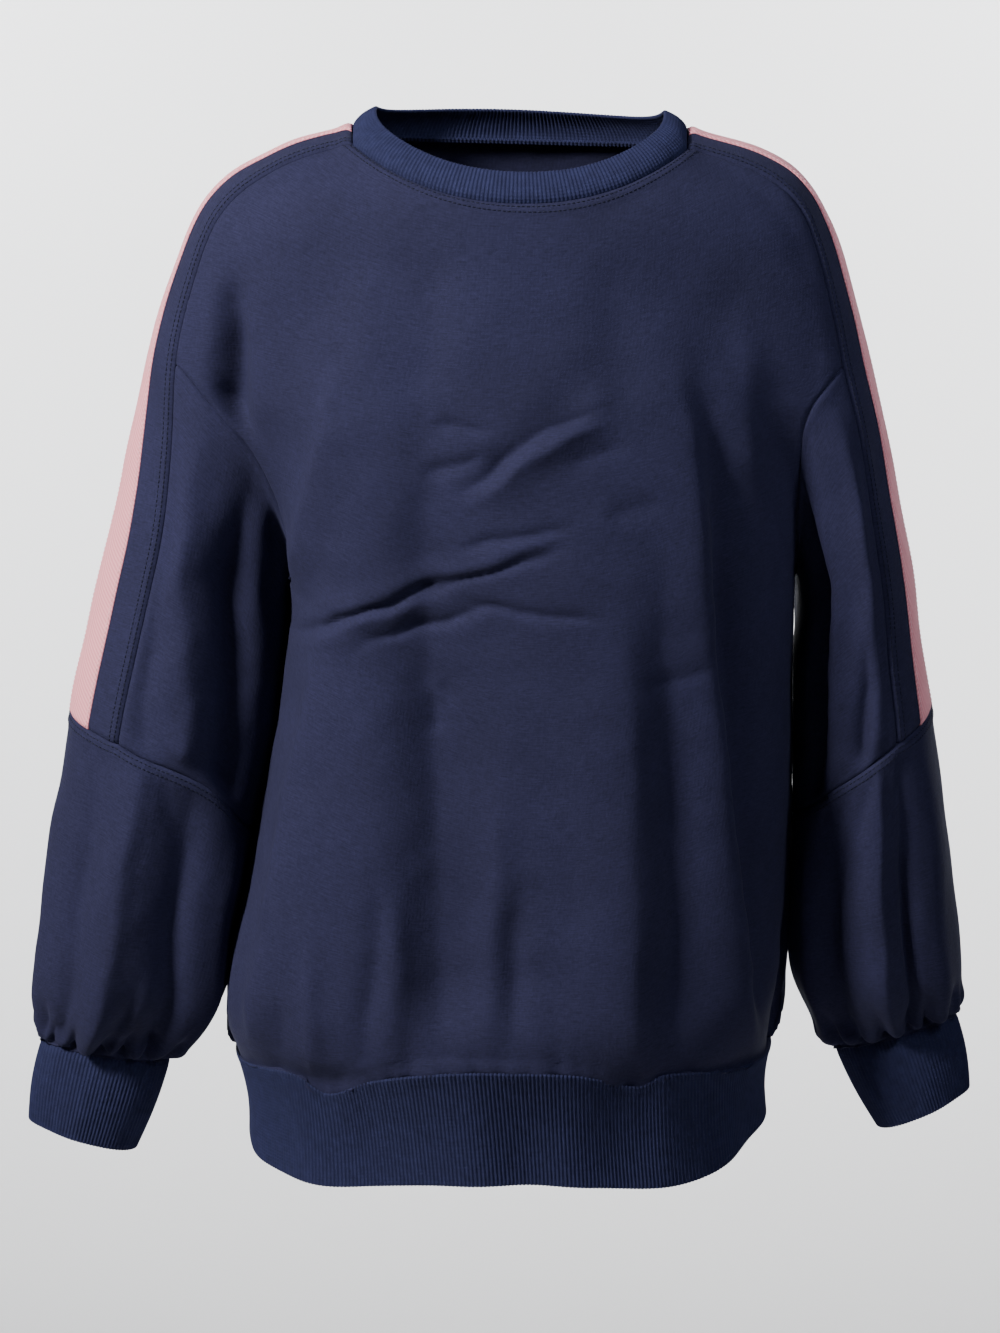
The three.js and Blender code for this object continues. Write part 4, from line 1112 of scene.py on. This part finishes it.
def capsule():
    """A rounded rod along X from -1 to 1, as rings of six points that shrink to both ends."""
    along = np.array([-1, -0.6, 0.6, 1])
    width = np.array([0.3, 1, 1, 0.3])
    angle = np.arange(6) * np.pi / 3
    ring = np.stack([np.cos(angle), np.sin(angle)], -1)
    points = np.concatenate([np.repeat(along, 6)[:, None], (width[:, None, None] * ring).reshape(-1, 2)], 1)
    index = np.arange(24).reshape(4, 6)
    index = np.concatenate([index, index[:, :1]], 1)
    sides = np.stack([index[:-1, :-1], index[:-1, 1:], index[1:, 1:], index[1:, :-1]], 2).reshape(-1, 4)
    caps = [[0, 5, 4, 3], [0, 3, 2, 1], [18, 19, 20, 21], [18, 21, 22, 23]]
    return points, np.concatenate([sides, caps])


def stitches(name, paths):
    """One mesh of all the stitches along the paths: a capsule at each pitch, turned along the path."""
    rod, faces = capsule()
    points, indices = [], []
    for line, normals in paths:
        length = lengths_along(line[:, None], 0)[:, 0]
        places = np.arange(STITCH["pitch"] / 2, length[-1], STITCH["pitch"])
        take = lambda values, at: np.stack([np.interp(at, length, values[:, i]) for i in range(3)], -1)
        centre, normal = take(line, places), take(normals, places)
        tangent = take(line, places + 0.5) - take(line, places - 0.5)
        tangent /= np.maximum(np.linalg.norm(tangent, axis=1, keepdims=True), 1e-9)
        aside = np.cross(normal, tangent)
        axes = [tangent * STITCH["length"] / 2, aside * STITCH["radius"], normal * STITCH["radius"]]
        sunk = 0.9 * (1 - rod[:, 0] ** 2) - 0.45
        made = centre[:, None] + sum(rod[None, :, i:i + 1] * axis[:, None] for i, axis in enumerate(axes))
        made = made + normal[:, None] * (STITCH["radius"] * sunk)[None, :, None]
        start = sum(len(p) for p in points)
        points.append(made.reshape(-1, 3))
        indices.append((faces[None] + start + len(rod) * np.arange(len(made))[:, None, None]).reshape(-1, 4))
    faces = np.concatenate(indices)
    return mesh_from(name, np.concatenate(points), faces, np.zeros((len(faces), 4, 2)))


seam_paths, tape_paths = [], []
for distance in (2.6, 6.2):
    for face in ("front", "back"):
        seam_paths.append(line_at(CLOTHS[f"{face}_cloth"], "last row", distance))
    for side in ("right", "left"):
        for edge in ("first column", "last column"):
            seam_paths.append(line_at(CLOTHS[f"{side}_shoulder_panel_cloth"], edge, distance))
        seam_paths.append(line_at(CLOTHS[f"{side}_lower_sleeve_cloth"], "first row", distance))
for side in ("right", "left"):
    for edge in ("first column", "last column"):
        tape_paths.append(line_at(CLOTHS[f"{side}_tape_weave"], edge, 1.8))
extras = {
    "seam_topstitching": stitches("seam_topstitching", seam_paths),
    "tape_stitching": stitches("tape_stitching", tape_paths),
}
print("stitch faces:", [len(o.data.polygons) for o in extras.values()])

# %% [markdown]
# ## Materials
#
# The cloth is cotton-rich french terry, knitted smooth on its face and brushed a little, in a deep navy. It
# scatters light softly with a faint sheen at grazing angles and has almost no gloss. Its wales, the fine upright
# lines of stitches, are about 1.1 mm apart on the real cloth. A picture texture would fix one size of
# picture, so the wales come from a wave on the piece's own coordinates, which are real millimetres.

# %% One helper for nodes and one for colours


def srgb(hex_colour):
    """A colour such as "#2b3152" as linear red, green, blue and alpha."""
    values = [int(hex_colour[i:i + 2], 16) / 255 for i in (1, 3, 5)]
    return [v / 12.92 if v <= 0.04045 else ((v + 0.055) / 1.055) ** 2.4 for v in values] + [1.0]


def add_node(tree, kind, settings=None, **links):
    """Adds one node. Settings are its properties and socket values, and links join its inputs to other sockets."""
    node = tree.nodes.new(kind)
    for key, value in (settings or {}).items():
        if key in node.inputs:
            node.inputs[key].default_value = value
        else:
            setattr(node, key, value)
    for key, socket in links.items():
        tree.links.new(node.inputs[key.replace("_", " ")], socket)
    return node


def new_material(name, colour, roughness, sheen, sheen_tint):
    """A material with its constants set on the shader's own sockets."""
    material = bpy.data.materials.new(name)
    material.use_nodes = True
    tree = material.node_tree
    shader = tree.nodes["Principled BSDF"]
    values = {"Base Color": srgb(colour), "Roughness": roughness, "Sheen Weight": sheen, "Sheen Roughness": 0.45,
              "Sheen Tint": srgb(sheen_tint), "Specular IOR Level": 0.25}
    for key, value in values.items():
        shader.inputs[key].default_value = value
    return material, tree, shader


# %% Brushed french terry
def terry_material():
    """Navy knit: fine wales from a wave across the cloth, broken up by noise, over a faint mottle of colour."""
    material, tree, shader = new_material("navy_french_terry", "#1e223f", 0.9, 0.06, "#6a70a6")
    where = add_node(tree, "ShaderNodeUVMap", {"uv_map": "cloth"}).outputs["UV"]
    place = add_node(tree, "ShaderNodeTexCoord").outputs["Object"]
    wobble = add_node(tree, "ShaderNodeTexNoise", {"Scale": 260.0, "Detail": 2.0}, Vector=where)
    wales = add_node(tree, "ShaderNodeTexWave", {
        "wave_type": "BANDS", "bands_direction": "X", "Scale": 2 * np.pi / 20 / 0.0012 / 2, "Distortion": 1.6,
        "Detail": 1.0, "Detail Scale": 1.5}, Vector=where)
    fuzz = add_node(tree, "ShaderNodeTexNoise", {"Scale": 1400.0, "Detail": 3.0, "Roughness": 0.65}, Vector=place)
    rows = add_node(tree, "ShaderNodeVectorMath", {"operation": "MULTIPLY"})
    rows.inputs[1].default_value = (110, 1500, 1)
    tree.links.new(rows.inputs[0], where)
    streaks = add_node(tree, "ShaderNodeTexNoise", {"Scale": 1.0, "Detail": 2.0}, Vector=rows.outputs["Vector"])
    grain = add_node(tree, "ShaderNodeTexNoise", {"Scale": 520.0, "Detail": 4.0, "Roughness": 0.75}, Vector=place)
    mottle = add_node(tree, "ShaderNodeMath", {"operation": "ADD"})
    for i, noise in enumerate((streaks, grain)):
        half = add_node(tree, "ShaderNodeMapRange", {"From Min": 0.25, "From Max": 0.75, "To Min": 0.0, "To Max": 0.5},
                        Value=noise.outputs["Fac"])
        tree.links.new(mottle.inputs[i], half.outputs["Result"])
    broad = add_node(tree, "ShaderNodeTexNoise", {"Scale": 14.0, "Detail": 3.0}, Vector=place)
    ramp = add_node(tree, "ShaderNodeMix", {"data_type": "RGBA"}, Factor=mottle.outputs["Value"])
    ramp.inputs[6].default_value, ramp.inputs[7].default_value = srgb("#15172e"), srgb("#2d2e50")
    tone = add_node(tree, "ShaderNodeMix", {"data_type": "RGBA", "blend_type": "MULTIPLY"})
    shade = add_node(tree, "ShaderNodeMapRange", {"From Min": 0.3, "From Max": 0.7, "To Min": 0.9, "To Max": 1.08},
                     Value=broad.outputs["Fac"])
    tone.inputs[0].default_value = 1.0
    tree.links.new(tone.inputs[6], ramp.outputs[2])
    tree.links.new(tone.inputs[7], shade.outputs["Result"])
    tree.links.new(shader.inputs["Base Color"], tone.outputs[2])
    first = add_node(tree, "ShaderNodeBump", {"Strength": 0.14, "Distance": 0.0002}, Height=wales.outputs["Fac"])
    second = add_node(tree, "ShaderNodeBump", {"Strength": 0.4, "Distance": 0.0003}, Height=fuzz.outputs["Fac"],
                      Normal=first.outputs["Normal"])
    third = add_node(tree, "ShaderNodeBump", {"Strength": 0.3, "Distance": 0.0008}, Height=wobble.outputs["Fac"],
                     Normal=second.outputs["Normal"])
    tree.links.new(shader.inputs["Normal"], third.outputs["Normal"])
    return material


# %% Rib, tape and thread


def rib_material():
    """The same yarn in rib: darker between the ribs by its own shape, with small stitches along each rib."""
    material, tree, shader = new_material("navy_rib_knit", "#20264a", 0.9, 0.06, "#6a70a6")
    where = add_node(tree, "ShaderNodeUVMap", {"uv_map": "cloth"}).outputs["UV"]
    courses = add_node(tree, "ShaderNodeTexWave", {
        "wave_type": "BANDS", "bands_direction": "Y", "Scale": 2 * np.pi / 20 / 0.0011 / 2, "Distortion": 2.0,
        "Detail": 1.0}, Vector=where)
    place = add_node(tree, "ShaderNodeTexCoord").outputs["Object"]
    fuzz = add_node(tree, "ShaderNodeTexNoise", {"Scale": 1200.0, "Detail": 3.0}, Vector=place)
    mottle = add_node(tree, "ShaderNodeTexNoise", {"Scale": 180.0, "Detail": 4.0}, Vector=place)
    ramp = add_node(tree, "ShaderNodeMix", {"data_type": "RGBA"}, Factor=mottle.outputs["Fac"])
    ramp.inputs[6].default_value, ramp.inputs[7].default_value = srgb("#181c39"), srgb("#2b3056")
    tree.links.new(shader.inputs["Base Color"], ramp.outputs[2])
    first = add_node(tree, "ShaderNodeBump", {"Strength": 0.4, "Distance": 0.0003}, Height=courses.outputs["Fac"])
    second = add_node(tree, "ShaderNodeBump", {"Strength": 0.35, "Distance": 0.0003}, Height=fuzz.outputs["Fac"],
                      Normal=first.outputs["Normal"])
    tree.links.new(shader.inputs["Normal"], second.outputs["Normal"])
    return material


def tape_material():
    """Woven twill tape: fine diagonal lines from a wave on turned coordinates, in pale pink polyester."""
    material, tree, shader = new_material("pink_twill_tape", "#fca5b3", 0.75, 0.0, "#ffd9de")
    where = add_node(tree, "ShaderNodeUVMap", {"uv_map": "cloth"}).outputs["UV"]
    turned = add_node(tree, "ShaderNodeMapping", {"Rotation": (0, 0, math.radians(32))}, Vector=where)
    twill = add_node(tree, "ShaderNodeTexWave", {
        "wave_type": "BANDS", "bands_direction": "Y", "Scale": 2 * np.pi / 20 / 0.0013 / 2, "Distortion": 0.6,
        "Detail": 1.0}, Vector=turned.outputs["Vector"])
    grain = add_node(tree, "ShaderNodeTexNoise", {"Scale": 900.0, "Detail": 2.0}, Vector=where)
    ramp = add_node(tree, "ShaderNodeMix", {"data_type": "RGBA"}, Factor=twill.outputs["Fac"])
    ramp.inputs[6].default_value, ramp.inputs[7].default_value = srgb("#ee94a3"), srgb("#ffb3bf")
    tree.links.new(shader.inputs["Base Color"], ramp.outputs[2])
    first = add_node(tree, "ShaderNodeBump", {"Strength": 0.5, "Distance": 0.0003}, Height=twill.outputs["Fac"])
    second = add_node(tree, "ShaderNodeBump", {"Strength": 0.25, "Distance": 0.0002}, Height=grain.outputs["Fac"],
                      Normal=first.outputs["Normal"])
    tree.links.new(shader.inputs["Normal"], second.outputs["Normal"])
    return material


terry, rib, twill_tape = terry_material(), rib_material(), tape_material()
navy_thread = new_material("navy_spun_thread", "#10142a", 0.7, 0.05, "#3c4468")[0]
pink_thread = new_material("pink_spun_thread", "#f8bcc6", 0.6, 0.1, "#ffe6ea")[0]

# %% [markdown]
# ## Joining the model
#
# Every piece rides on the one body, takes the place of its node's solid, which is hidden, and is given its material.
# The size it was cut, here that of the cloth of each piece as it shows, is printed with how the piece is held.

# %% Ride, replace and print


def flat_size(obj):
    """The cut's width and length from the cloth's own coordinates, and its area as half the closed wall's surface."""
    uv = np.empty(2 * len(obj.data.loops), np.float32)
    obj.data.uv_layers["cloth"].data.foreach_get("uv", uv)
    width, length = np.ptp(uv.reshape(-1, 2), axis=0)
    area = sum(p.area for p in obj.data.polygons) / 2
    return float(width), float(length), float(area)


HELD = {"cuff": "stretched", "neckband": "stretched", "hem_band": "stretched", "tape": "laid",
        "lower_sleeve": "gathered"}
for node, obj in pieces.items():
    kind = next((held for end, held in HELD.items() if node.endswith(end)), "draped")
    slot = "tape" if node.endswith("tape") else "rib_knit" if kind == "stretched" else "body_cloth"
    obj.data.materials.append({"tape": twill_tape, "rib_knit": rib, "body_cloth": terry}[slot])
    width, length, area = flat_size(obj)
    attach(obj, "root")
    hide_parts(node)
    print(f"{node}: cut {width:.3f} x {length:.3f} m, {area:.4f} square metres, {kind}")
THREADS = {"seam_topstitching": (navy_thread, "body_cloth"), "tape_stitching": (pink_thread, "tape")}
for name, (material, slot) in THREADS.items():
    extras[name].data.materials.append(material)
    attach(extras[name], "root")

# %% [markdown]
# ## Floor, light and camera
#
# A pale floor sweeps up into a pale wall, as paper does in a studio. A large soft light from the upper left models
# the folds, a weak one from the right keeps the far side readable, and the surroundings fill the rest.

# %% A paper sweep


def paper_sweep(width=9.0, floor=-1.5, back=2.6, bend=1.2, top=4.5):
    """A floor line, a quarter circle and a wall line, carried along X."""
    angle = np.linspace(0, np.pi / 2, 24)
    y = np.concatenate([[-6.0], back - bend + bend * np.sin(angle), [back]])
    z = np.concatenate([[floor], floor + bend - bend * np.cos(angle), [top]])
    x = np.linspace(-width / 2, width / 2, 2)
    grid = np.stack(np.broadcast_arrays(x[None, :], y[:, None], z[:, None]), -1) / MM
    index = np.arange(grid[..., 0].size).reshape(grid.shape[:2])
    faces = np.stack([index[:-1, :-1], index[:-1, 1:], index[1:, 1:], index[1:, :-1]], 2).reshape(-1, 4)
    return mesh_from("paper_sweep", grid.reshape(-1, 3), faces, np.zeros((len(faces), 4, 2)))


sweep = paper_sweep()
sweep.data.materials.append(new_material("studio_paper", "#dcdddf", 0.95, 0.0, "#ffffff")[0])

# %% Lights and surroundings


def area_light(name, place, target, size, watts, colour, spread):
    """A square soft light at a place, turned so that its face looks at the target."""
    light = bpy.data.lights.new(name, "AREA")
    light.size, light.energy, light.color = size, watts, srgb(colour)[:3]
    light.spread = math.radians(spread)
    obj = bpy.data.objects.new(name, light)
    bpy.context.scene.collection.objects.link(obj)
    obj.location, obj.visible_camera = place, False
    direction = np.array(target) - np.array(place)
    flat = math.hypot(direction[0], direction[1])
    obj.rotation_euler = (math.atan2(flat, -direction[2]), 0, math.atan2(-direction[0], direction[1]))
    return obj


area_light("key", (-1.6, -1.2, 1.1), (0, 0, -0.42), 0.5, 31, "#fffaf4", 100)
area_light("top", (0.9, -0.9, 0.9), (0.05, 0, -0.15), 0.6, 2.6, "#f4f6ff", 90)
for side_x in (-1.3, 1.3):
    area_light("paper_light", (side_x, 0.9, 0.6), (0.75 * side_x, 2.6, 0.1), 0.9, 75, "#ffffff", 130)
world = bpy.data.worlds.new("studio")
world.use_nodes = True
world.node_tree.nodes["Background"].inputs["Color"].default_value = srgb("#e9ebee")
world.node_tree.nodes["Background"].inputs["Strength"].default_value = 0.04
bpy.context.scene.world = world

# %% Camera
FOCAL_PIXELS, IMAGE_HEIGHT, MIDDLE_OFFSET = 3100, 1333, 10
camera = bpy.data.cameras.new("camera")
camera.sensor_width = 36
camera.lens = FOCAL_PIXELS / IMAGE_HEIGHT * camera.sensor_width
camera.shift_x = -MIDDLE_OFFSET / IMAGE_HEIGHT
view = bpy.data.objects.new("camera", camera)
bpy.context.scene.collection.objects.link(view)
view.location = (0, -2.0, 0.06)
view.rotation_euler = (math.radians(90 - 11.6), 0, 0)
bpy.context.scene.camera = view

# %% Update the view layer and finish
bpy.context.view_layer.update()
